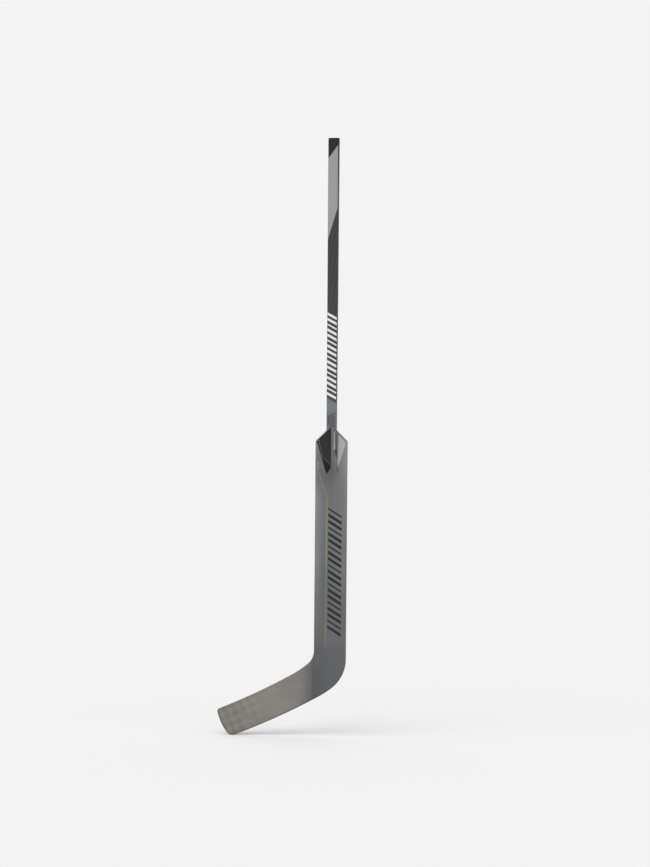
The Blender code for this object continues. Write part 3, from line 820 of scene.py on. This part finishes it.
def shaft_colour(net):
    """The shaft from the butt down: black, charcoal with slanting streaks, then steel grey."""
    front = net.math("MULTIPLY_ADD", net.y, -1.0 / 17.0, 0.5, clamp=True)
    x = net.times(net.x, net.math("MULTIPLY_ADD", front, 2.0, -1.0))
    charcoal = net.ramp(net.z, [
        (60.0, paint(78, 79, 81)), (330.0, paint(74, 73, 74)), (520.0, paint(70, 69, 70)), (800.0, paint(66, 66, 68)),
    ], 60.0, 800.0)
    slant = net.math("MULTIPLY_ADD", net.z, 0.16, net.times(x, -1.0))
    band = net.math("SINE", net.times(slant, 1.35))
    band = net.add(band, net.times(net.math("SINE", net.times(slant, 0.53)), 0.7))
    shown = net.both(net.fade(net.z, 250.0, 330.0), net.fade(net.z, 600.0, 520.0))
    charcoal = net.shade(charcoal, net.math("MULTIPLY_ADD", net.times(band, shown), 0.22, 1.0))
    steel = net.ramp(net.z, [
        (0.0, paint(104, 107, 109)), (45.0, paint(112, 116, 118)), (62.0, paint(120, 125, 128)), (95.0, paint(112, 116, 119)),
    ], 0.0, 95.0)
    edge = net.minus(net.math("MULTIPLY_ADD", x, -0.54, 81.0), net.z)
    colour = net.mix(net.step(edge, 0.8), charcoal, steel)
    top = net.minus(net.z, net.math("MULTIPLY_ADD", net.add(x, 15.0), 1.373, 742.6))
    return net.mix(net.step(top, 0.6), colour, paint(50, 50, 52))


def plain(name, colour, roughness=0.5, grain=0.10, bump=0.02, scale=180.0, **more):
    """Ink, rubber or moulding: one hue, with its own mottle, sheen and fine bumps."""
    net = Net(name, **more)
    fine = net.noise(scale, (1, 1, 1), 4.0, 0.6)
    broad = net.noise(16.0, (1, 1, 0.5), 3.0)
    tone = net.add(1.0 - grain, net.times(fine, grain), net.times(broad, grain))
    return net.end(net.shade(colour, tone), wear(net, roughness, 0.04), net.bump(fine, bump))


def gradient(name, stops, low, high, roughness=0.4, grain=0.08, x_driven=False, **more):
    """A finish whose colour changes down the stick, or across its front and, turned round, its back."""
    net = Net(name, **more)
    across = net.times(net.x, net.math("MULTIPLY_ADD", net.step(net.times(net.y, -1.0), 0.4), 2.0, -1.0)) if x_driven else net.z
    colour = net.ramp(across, stops, low, high)
    fine = net.noise(220.0, (1, 1, 1), 3.0)
    broad = net.noise(20.0, (1, 1, 0.6), 3.0)
    tone = net.add(1.0 - grain, net.times(fine, grain), net.times(broad, grain))
    return net.end(net.shade(colour, tone), wear(net, roughness, 0.04), net.bump(fine, 0.015))


SHAFT = laminate("shaft_finish", shaft_colour, 2.4, 0.38)
FRONT = laminate("paddle_front_finish", heel_blend, 2.2, 0.36)
BACK = laminate("paddle_back_finish", heel_blend_back, 2.2, 0.38)
BLADE = laminate("blade_finish", heel_blend, 2.6, 0.42)
RAIL = laminate("rail_finish", rail_colour, 2.2, 0.36)
# the binding's darker colour is painted shade of the rounded edges
BINDING = laminate("blade_binding_painted_shade", binding_painted_shade_colour, 2.6, 0.48)
PLUG = plain("butt_moulding", matt(50, 50, 51), 0.55, 0.12, 0.03, 240.0, Specular_IOR_Level=0.22)
PAD_BLACK = plain("pad_rubber", matt(41, 41, 39), 0.72, 0.14, 0.05, 300.0, Specular_IOR_Level=0.22)
PAD_INNER = plain("pad_inner_film", matt(50, 51, 50), 0.55, 0.16, 0.03, 160.0, Specular_IOR_Level=0.22)
# painted reflection: the small facet's light grey, lightest across its middle, stands in for the facet catching the
# light
PAD_PAINTED_REFLECTION = gradient("pad_light_film", [
    (16.0, paint(146, 146, 147)), (21.0, paint(156, 156, 157)), (27.0, paint(165, 165, 166)), (34.0, paint(167, 167, 168)), (41.0, paint(162, 162, 163))],
    16.0, 41.0, 0.45, 0.06, x_driven=True)
INK_WHITE = plain("ink_white", paint(224, 225, 227), 0.42, 0.03, 0.01)
INK_DARK = plain("ink_dark", matt(49, 52, 55), 0.45, 0.10, 0.01, Specular_IOR_Level=0.22)
INK_GOLD = gradient("ink_gold", [
    (-592.0, paint(112, 112, 96)), (-578.0, paint(124, 118, 80)), (-535.0, paint(126, 120, 78)), (-515.0, paint(116, 115, 95)),
    (-380.0, paint(119, 119, 97)), (-345.0, paint(134, 136, 92)), (-200.0, paint(128, 131, 92)), (-180.0, paint(118, 120, 98)),
    (-116.0, paint(121, 121, 98)), (-108.0, paint(137, 137, 96)), (-90.0, paint(138, 138, 102))], -600.0, -85.0, 0.4)
INK_FIELD = gradient("ink_grey_field", [
    (480.0, paint(154, 154, 154)), (640.0, paint(155, 155, 155)), (760.0, paint(151, 151, 152))],
    480.0, 760.0, 0.38, 0.05, **GLOSS)
INK_SILVER = plain("ink_silver", paint(166, 166, 168), 0.30, 0.06, 0.01)
# painted highlight: a light line along the raised pad's lower-left rim where its bevel catches the light
PAD_RIM_HIGHLIGHT = gradient("pad_rim_painted_highlight", [(-98.0, paint(78, 78, 76)), (-60.0, paint(84, 85, 85)), (-28.0, paint(94, 94, 94))], -98.0, -28.0, 0.45)
# painted highlight: a light stripe down the spine's groove, with a brighter painted glint near its lower end
SPINE_HIGHLIGHT = gradient("spine_painted_highlight", [
    (-58.0, paint(180, 182, 188)), (-52.0, paint(178, 180, 186)), (-46.0, paint(162, 163, 167)), (-36.0, paint(150, 150, 154)), (-2.0, paint(147, 147, 150))],
    -60.0, -2.0, 0.3)
# painted shade: a dark strip where the spine's flank falls into shadow, with a darker point below the groove's end
SPINE_PAINTED_SHADE = gradient("spine_painted_shade", [(-112.0, paint(62, 64, 65)), (-96.0, paint(72, 74, 75)), (-84.0, paint(94, 94, 96)), (-66.0, paint(84, 84, 86)), (-58.0, paint(66, 66, 68)), (-50.0, paint(88, 88, 90)), (-2.0, paint(87, 87, 89))], -112.0, -2.0, 0.4)


def core_material(name, colour, cells, roughness, bed=None):
    """A cellular filler; its bed is the dark adhesive under the throat's pads."""
    net = Net(name, Specular_IOR_Level=0.3)
    node = net.tree.nodes.new("ShaderNodeTexVoronoi")
    node.inputs["Scale"].default_value = cells
    net.put(node.inputs["Vector"], net.position)
    cloud = net.noise(30.0)
    tone = net.add(0.72, net.times(node.outputs[0], 0.4), net.times(cloud, 0.2))
    if bed:
        colour = net.mix(net.step(net.add(net.z, 126.0), 1.0), colour, bed)
    return net.end(net.shade(colour, tone), roughness, net.bump(node.outputs[0], 0.25))


def carbon_material(name):
    net = Net(name, Coat_Weight=0.2, Coat_Roughness=0.25)
    over, height = net.twill(net.add(net.x, net.y), net.z, 2.0)
    colour = net.mix(over, (0.016, 0.016, 0.018, 1), (0.05, 0.05, 0.054, 1))
    return net.end(colour, wear(net, 0.4), net.bump(height, 0.06))


FOAM = core_material("core_foam_cells", (0.56, 0.50, 0.36, 1), 700.0, 0.9, paint(88, 88, 88))
RESIN = core_material("heel_block_resin_fill", (0.10, 0.102, 0.106, 1), 420.0, 0.6)
CARBON = carbon_material("carbon_twill")

# ---------------------------------------------------------------- the shaft and its plug
def make_shaft():
    low, high = SEAM, SHAFT_LENGTH - PLUG_CAP - SEAM
    levels = [low + (high - low) * i / 40 for i in range(41)]
    verts, faces = [], []
    outer = [rounded_ring(shaft_width(z), SHAFT_DEPTH, SHAFT_CORNER, z) for z in levels]
    bores = []
    for z in levels:
        t = z / SHAFT_LENGTH
        bores.append(rounded_ring(21.0 + 4.2 * t, 15.0 + 0.6 * t, 2.0, z))
    n = len(outer[0])
    for ring in outer + bores:
        verts += ring
    half = len(levels) * n
    for i in range(len(levels) - 1):
        for j in range(n):
            k = (j + 1) % n
            a, b = i * n, (i + 1) * n
            faces.append((a + j, a + k, b + k, b + j))
            faces.append((half + a + k, half + a + j, half + b + j, half + b + k))
    last = (len(levels) - 1) * n
    for j in range(n):
        k = (j + 1) % n
        faces.append((j, half + j, half + k, k))
        faces.append((last + j, last + k, half + last + k, half + last + j))
    finish_mesh("shaft", verts, faces, SHAFT, "charcoal_composite", ["shaft_tube"])


def make_plug():
    top, foot = SHAFT_LENGTH, SHAFT_LENGTH - PLUG_CAP
    width = shaft_width(foot)
    t = (foot - PLUG_SPIGOT) / SHAFT_LENGTH
    bw, bd = 21.0 + 4.2 * t - 0.6, 15.0 + 0.6 * t - 0.6
    rings = [rounded_ring(bw - 2.4, bd - 2.4, 1.0, foot - PLUG_SPIGOT), rounded_ring(bw, bd, 2.0, foot - PLUG_SPIGOT + 1.2)]
    for i in range(3):
        z = foot - PLUG_SPIGOT + 8 + 10 * i
        for dz, cut in ((0, 0), (0.8, 0.8), (3.2, 0.8), (4.0, 0)):
            rings.append(rounded_ring(bw - 2 * cut, bd - 2 * cut, 2.0, z + dz))
    rings.append(rounded_ring(bw, bd, 2.0, foot))
    rings.append(rounded_ring(width - 0.5, SHAFT_DEPTH - 0.5, SHAFT_CORNER - 0.2, foot))
    rings.append(rounded_ring(width, SHAFT_DEPTH, SHAFT_CORNER, foot + 0.3))
    for i in range(8):
        a = math.radians(90) * i / 7
        cut = 1.8 - 1.8 * math.cos(a)
        rings.append(rounded_ring(width - 2 * cut, SHAFT_DEPTH - 2 * cut, SHAFT_CORNER - cut * 0.6, top - 1.8 + 1.8 * math.sin(a)))
    rings.append(rounded_ring(width - 7.0, SHAFT_DEPTH - 7.0, 2.6, top - 0.05))
    rings.append(rounded_ring(width - 7.8, SHAFT_DEPTH - 7.8, 2.3, top - 0.6))
    loft("butt_plug", rings, PLUG, "moulded_black", ["butt_end_plug"])


# ---------------------------------------------------------------- pads, at the throat
LARGE = [(-1.45, -0.6), (-8.6, -0.6), (-39.0, -28.9), (-39.6, -30.6), (-12.95, -120.6), (-1.45, -106.6)]
LARGE_INNER = [(-2.2, -2.6), (-9.8, -3.0), (-34.6, -26.6), (-34.2, -31.6), (-24.6, -72.6), (-2.2, -94.6)]
SMALL = [(18.05, -11.0), (19.2, -11.0), (36.8, -31.4), (39.2, -34.9), (39.9, -38.9), (19.7, -99.8), (18.05, -99.8)]


def mirror(points):
    return [(-x, z) for x, z in points][::-1]


def grown(points, distance):
    """A convex outline moved outwards."""
    pts = [Vector(p) for p in points]
    n = len(pts)
    area = sum(pts[i].cross(pts[(i + 1) % n]) for i in range(n))
    sign = 1 if area > 0 else -1
    out = []
    for i, p in enumerate(pts):
        before, after = (p - pts[i - 1]).normalized(), (pts[(i + 1) % n] - p).normalized()
        n0, n1 = Vector((before.y, -before.x)) * sign, Vector((after.y, -after.x)) * sign
        mid = (n0 + n1).normalized()
        out.append(tuple(p + mid * (distance / max(0.35, mid.dot(n0)))))
    return out


def make_pads():
    for face, where in ((-1, "front"), (1, "back")):
        flip = (lambda pts: list(pts)) if face < 0 else mirror
        # the small facet's light grey is a painted reflection
        for outline, mat, slot, hand in ((LARGE, PAD_BLACK, "pad_black", -1), (SMALL, PAD_PAINTED_REFLECTION, "pad_light", 1)):
            left = hand * (1 if face < 0 else -1) < 0
            node = f"finger_pad_{where}_{'left' if left else 'right'}"
            tall = 0.26 if outline is LARGE else -0.2
            raised = flip(LARGE_INNER) if outline is LARGE else flip(grown(SMALL, -1.5))
            rings = [raised, grown(raised, 0.35)]
            region = patch(flip(grown(outline, -SEAM)), 3.0, features=[list(r) + [r[0]] for r in rings])

            def top(x, z, face=face, raised=np.array(grown(raised, 0.1)), tall=tall):
                up = inside(np.stack([x, z], -1), raised)
                return face_height(x, z, face, -0.02 - tall * up)

            slab("throat_pad_" + node[11:], region, top, lambda x, z, face=face: face_height(x, z, face, 1.1), mat, slot, [node])
            if outline is LARGE:
                film = patch(grown(raised, -0.5), 4.0)
                slab(f"throat_film_{where}", film, lambda x, z, face=face: face_height(x, z, face, -0.34),
                     lambda x, z, face=face: face_height(x, z, face, 0.0), PAD_INNER, slot)


# ---------------------------------------------------------------- skins, rails, blade
FEATURES = [
    [(WALL_LARGE, 0.5), (WALL_LARGE, -105.6)], [(WALL_LARGE - 0.7, 0.5), (WALL_LARGE - 0.7, -106.4)],
    [(WALL_SMALL, -8.0), (WALL_SMALL, -101.0)], [(WALL_SMALL + 0.7, -8.0), (WALL_SMALL + 0.7, -101.0)],
    [(16.6, -9.0), (22.4, -9.0)], [(16.6, -10.6), (24.0, -10.6)],
    [(-41.4, -27.4), HINGE_LARGE[1], (WALL_LARGE, -105.6)],
    [(-13.2, -121.4), (-1.2, -105.1)],
    [(41.2, -37.4), (19.6, -101.0)], [(19.6, -100.2), (WALL_SMALL, -100.2)], [(19.6, -101.0), (WALL_SMALL, -101.0)],
    [(5.8, -0.6), (5.8, -50.0), (8.7, -60.5), (11.6, -50.0), (11.6, -0.6), (5.8, -0.6)],
    [(6.7, -3.6), (6.7, -49.4), (8.7, -57.0), (10.7, -49.4), (10.7, -3.6), (6.7, -3.6)],
    [(-12.0, -5.0), (-1.4, -5.0)],
]


def make_skins():
    last = K_BLADE - 0.004
    ks = stations(0.0, last)
    outline = [edge_point(True, k, SEAM) for k in ks] + [edge_point(False, k, SEAM) for k in ks[::-1]]
    for face, name, mat, slot, node in (
        (-1, "paddle_face_front", FRONT, "steel_grey_laminate", "paddle_front_skin"),
        (1, "paddle_face_back", BACK, "back_laminate", "paddle_back_skin"),
    ):
        flip = (lambda pts: list(pts)) if face < 0 else mirror
        holes = [flip(LARGE), flip(SMALL)]
        features = [flip(f) for f in FEATURES]
        region = patch(outline, 6.0, features, holes, ((-44.0, -128.0, 44.0, 0.0), 2.6))
        slab(name, region, lambda x, z, face=face: face_height(x, z, face),
             lambda x, z, face=face: face_height(x, z, face, 0.45), mat, slot, [node])

    rim("rail_inner", side_pairs(True, 0.0, last), RAIL, "rail_grey", ["inner_edge_rail"])
    rim("rail_outer", side_pairs(False, 0.0, last), RAIL, "rail_grey", ["outer_edge_rail"])

    first = K_BLADE + 0.004
    ks = stations(first, float(K_END))
    a, b = edge_point(True, float(K_END)), edge_point(False, float(K_END))
    inner = [edge_point(True, k, SEAM) for k in ks]
    outer = [edge_point(False, k, SEAM) for k in ks]
    away = Vector((toe_chord.y, -toe_chord.x)).normalized()
    if away.x < 0:
        away.negate()
    inner[-1] = inner[-1] + away * SEAM
    outer[-1] = outer[-1] + away * SEAM
    outline = inner + [inner[-1].lerp(outer[-1], i / 12) for i in range(1, 12)] + outer[::-1]
    for face, name, node in ((-1, "blade_face_front", "blade_front_skin"), (1, "blade_face_back", "blade_back_skin")):
        region = patch(outline, 5.0)
        slab(name, region, lambda x, z, face=face: face_height(x, z, face),
             lambda x, z, face=face: face_height(x, z, face, 0.45), BLADE, "blade_laminate", [node])
    rim("blade_edge_top", side_pairs(True, first, K_TOE - 0.02), BINDING, "edge_binding", ["blade_top_edge"])
    rim("blade_edge_sole", side_pairs(False, first, K_TOE - 0.02), BINDING, "edge_binding", ["blade_bottom_edge"])
    pairs = side_pairs(True, K_TOE + 0.02, float(K_END))
    for i, p in enumerate(TOE_LINE, 1):
        pairs.append((p, a.lerp(b, i / N_TOE)))
    pairs += side_pairs(False, K_TOE + 0.02, float(K_END))[::-1]
    rim("blade_edge_toe", pairs, BINDING, "edge_binding", ["toe_edge"])


# ---------------------------------------------------------------- printed graphics, with painted highlight and shade at the throat
def decal(name, polygons, mat, slot, face=-1, on="paddle", lift=0.07, spacing=5.0, features=()):
    """Thin shapes that follow the face they lie on: print, and painted highlight and shade."""
    height = face_height if on == "paddle" else shaft_height
    regions = [patch(p, spacing, features) for p in polygons]
    return slab(name, regions, lambda x, z: height(x, z, face, -lift), lambda x, z: height(x, z, face, 0.06), mat, slot)


def dense(points, step=3.0):
    """A closed outline with no long edges."""
    out = []
    for i, p in enumerate(points):
        a, b = Vector(p), Vector(points[(i + 1) % len(points)])
        count = max(1, int(math.ceil((b - a).length / step)))
        out += [tuple(a.lerp(b, j / count)) for j in range(count)]
    return out


def stripe(points, width):
    """The outline of a line of one width."""
    pts = [Vector(p) for p in points]
    left, right = [], []
    for i, p in enumerate(pts):
        before = (p - pts[i - 1]).normalized() if i else (pts[1] - p).normalized()
        after = (pts[i + 1] - p).normalized() if i + 1 < len(pts) else before
        n0, n1 = Vector((before.y, -before.x)), Vector((after.y, -after.x))
        mid = (n0 + n1).normalized()
        step = mid * (width / 2 / max(0.4, mid.dot(n0)))
        left.append(tuple(p - step))
        right.append(tuple(p + step))
    return left + right[::-1]


def slanted(x0, x1, z, height, slope):
    """A bar across the stick whose ends are at x0 and x1 and whose sides slope."""
    return [(x0, z + slope * x0), (x1, z + slope * x1), (x1, z + height + slope * x1), (x0, z + height + slope * x0)]


CORNER_LINES = (8.6, 9.6, 10.5, 11.3, 12.0, 12.6, 13.1, 13.5)


def on_shaft(name, polygons, mat, slot, face, lift=0.07):
    """A print on the shaft, with creases where its corners turn."""
    regions = []
    for polygon in polygons:
        zs = [p[1] for p in polygon]
        lines = [[(sign * x, min(zs) - 1), (sign * x, max(zs) + 1)] for x in CORNER_LINES for sign in (-1, 1)]
        widest = max(abs(p[0]) for p in polygon)
        regions.append(patch(dense(polygon, 1.6), 6.0, [line for line in lines if abs(line[0][0]) < widest - 0.15]))
    return slab(name, regions, lambda x, z: shaft_height(x, z, face, -lift), lambda x, z: shaft_height(x, z, face, 0.08), mat, slot)


WEIGHTS = (1.16, 0.68, 1.16)


def ladder(x0, x1, low, pitch, count, thick, slope):
    """Plain sloping bars in threes, the middle one thinner: a pattern that spells nothing."""
    bars = []
    for i in range(count):
        half = thick * WEIGHTS[i % 3] / 2
        z = low + pitch * i
        end = z + slope * (x1 - x0)
        bars.append([(x0, z - half), (x1, end - half), (x1, end + half), (x0, z + half)])
    return bars


def make_graphics():
    for face, tag in ((-1, "front"), (1, "back")):
        flip = (lambda pts: list(pts)) if face < 0 else mirror
        # the pale field near the butt
        field = [(-13.95, 743.1), (12.5, 779.4), (12.5, 608.6), (-13.7, 521.5)]
        on_shaft(f"print_field_{tag}", [flip(field)], INK_FIELD, "steel_grey_laminate", face, 0.06)
        bars = [flip(bar) for bar in ladder(-13.1, 12.4, 101.0, 14.5, 16, 6.3, -0.55)]
        on_shaft(f"print_white_dashes_{tag}", bars, INK_WHITE, "pad_light", face)
        hatch = []
        for x in (-10.6, -3.6, 3.4):
            for i in range(6):
                low = 3.4 + 6.4 * i + 0.5 * (x + 10.6)
                if x > -5 or i > 1:
                    hatch.append(flip(stripe([(x, low), (x + 5.4, low + 2.7)], 2.4)))
        on_shaft(f"print_hatch_{tag}", hatch, INK_DARK, "pad_black", face, 0.06)
        tip = [(WALL_LARGE, 7.0), (WALL_LARGE, 0.2), (-8.0, 0.2)]
        on_shaft(f"print_tip_{tag}", [flip(tip)], PAD_BLACK, "pad_black", face, 0.06)

        # painted highlight along the rim of the raised black pad
        edge = stripe([(-34.0, -27.6), (-33.4, -32.4), (-23.9, -73.0), (-1.6, -95.4)], 2.1)
        decal(f"print_pad_edge_{tag}", [dense(flip(edge), 3.0)], PAD_RIM_HIGHLIGHT, "pad_light", face, "paddle", 0.42, 4.0)
        gold = stripe([(-36.4, -113.5), (-10.9, -178.0), (-10.2, -188.0), (-11.8, -592.0)], 3.9)
        tick = [(-38.9, -88.5), (-33.2, -88.5), (-32.8, -108.0), (-37.0, -108.0)]
        decal(f"print_gold_{tag}", [dense(flip(gold), 5.0), dense(flip(tick), 4.0)], INK_GOLD, "pad_light", face, "paddle", 0.06, 6.0)
        # painted shade beside the spine, and a dark tick of painted shade at its foot
        shade = [(11.8, -1.2), (WALL_SMALL - 0.15, -1.2), (WALL_SMALL - 0.15, -84.0), (13.6, -72.0), (10.6, -66.5), (9.0, -61.6), (11.8, -51.5)]
        spine_foot_shade = [(16.0, -95.0), (17.1, -97.5), (17.1, -101.6), (18.6, -106.0), (18.2, -118.5), (16.0, -112.0)]
        decal(f"print_spine_shade_{tag}", [dense(flip(shade), 3.0), dense(flip(spine_foot_shade), 3.0)], SPINE_PAINTED_SHADE, "pad_black", face, "paddle", 0.05, 4.0)
        # painted highlight down the spine's groove
        spine = [(6.8, -3.8), (10.6, -3.8), (10.6, -48.6), (8.7, -56.0), (6.8, -48.6)]
        decal(f"print_spine_{tag}", [dense(flip(spine), 3.0)], SPINE_HIGHLIGHT, "pad_light", face, "paddle", 0.05, 4.0)
    bars = [dense(bar, 4.0) for bar in ladder(-6.6, 30.6, -538.0, 17.0, 20, 7.4, -0.62)]
    decal("print_dark_dashes", bars, INK_DARK, "pad_black", -1, "paddle", 0.06, 7.0)


make_shaft()
make_plug()
make_pads()
make_skins()
make_graphics()

for name, mat in (
    ("paddle_center_spar", CARBON), ("blade_bridge_rib", CARBON), ("heel_block", RESIN),
    ("paddle_core_inner", FOAM), ("paddle_core_outer", FOAM), ("blade_core_upper", FOAM), ("blade_core_lower", FOAM),
):
    mesh = frame["nodes"][name].data
    mesh.materials.clear()
    mesh.materials.append(mat)

# ---------------------------------------------------------------- floor, light, camera
FLOOR_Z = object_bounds()[0][2]
floor_mesh = bpy.data.meshes.new("floor")
reach = 60.0
floor_mesh.from_pydata([(-reach, -reach, FLOOR_Z), (reach, -reach, FLOOR_Z), (reach, reach, FLOOR_Z), (-reach, reach, FLOOR_Z)], [], [(0, 1, 2, 3)])
floor = bpy.data.objects.new("floor", floor_mesh)
bpy.context.scene.collection.objects.link(floor)
floor_mat = bpy.data.materials.new("floor_paint")
floor_mat.use_nodes = True
shader = floor_mat.node_tree.nodes["Principled BSDF"]
shader.inputs["Base Color"].default_value = (0.888, 0.886, 0.886, 1)
shader.inputs["Roughness"].default_value = 1.0
shader.inputs["Specular IOR Level"].default_value = 0.0
floor_mesh.materials.append(floor_mat)

world = bpy.data.worlds.new("studio")
bpy.context.scene.world = world
world.use_nodes = True
tree = world.node_tree
tree.nodes.clear()
out = tree.nodes.new("ShaderNodeOutputWorld")
seen = tree.nodes.new("ShaderNodeBackground")
lit = tree.nodes.new("ShaderNodeBackground")
switch = tree.nodes.new("ShaderNodeMixShader")
rays = tree.nodes.new("ShaderNodeLightPath")
pale = linear(243)
seen.inputs["Color"].default_value = (pale, pale, pale, 1)
lit.inputs["Color"].default_value = (0.45, 0.45, 0.45, 1)
tree.links.new(rays.outputs["Is Camera Ray"], switch.inputs[0])
tree.links.new(lit.outputs[0], switch.inputs[1])
tree.links.new(seen.outputs[0], switch.inputs[2])
tree.links.new(switch.outputs[0], out.inputs["Surface"])


def sun(name, azimuth, elevation, strength, angle):
    """A soft sun that shines from this azimuth (0 is the front, 90 the right)."""
    data = bpy.data.lights.new(name, "SUN")
    data.energy = strength
    data.angle = math.radians(angle)
    lamp = bpy.data.objects.new(name, data)
    a, e = math.radians(azimuth), math.radians(elevation)
    source = Vector((math.sin(a) * math.cos(e), -math.cos(a) * math.cos(e), math.sin(e)))
    lamp.rotation_euler = source.to_track_quat("Z", "Y").to_euler()
    bpy.context.scene.collection.objects.link(lamp)


sun("key", -32.0, 48.0, 1.5, 65.0)
sun("fill", 60.0, 40.0, 0.5, 60.0)
sun("rim", 180.0, 55.0, 0.4, 60.0)

AZIMUTH, ELEVATION, ROLL = 8.0, 0.0, -0.47
LENS, SENSOR = 100.0, 36.0
DISTANCE = 2.376 * LENS / SENSOR
AIM = Vector((-0.0186, 0.0, -0.0097))
camera_data = bpy.data.cameras.new("camera")
camera_data.lens = LENS
camera_data.sensor_width = SENSOR
camera_data.clip_end = 300.0
camera = bpy.data.objects.new("camera", camera_data)
a, e = math.radians(AZIMUTH), math.radians(ELEVATION)
back = Vector((math.sin(a) * math.cos(e), -math.cos(a) * math.cos(e), math.sin(e)))
look = back.to_track_quat("Z", "Y").to_matrix().to_4x4()
camera.matrix_world = Matrix.Translation(AIM + back * DISTANCE) @ look @ Matrix.Rotation(math.radians(-ROLL), 4, "Z")
bpy.context.scene.collection.objects.link(camera)
bpy.context.scene.camera = camera
bpy.context.scene.view_settings.view_transform = "Standard"
bpy.context.scene.view_settings.look = "None"
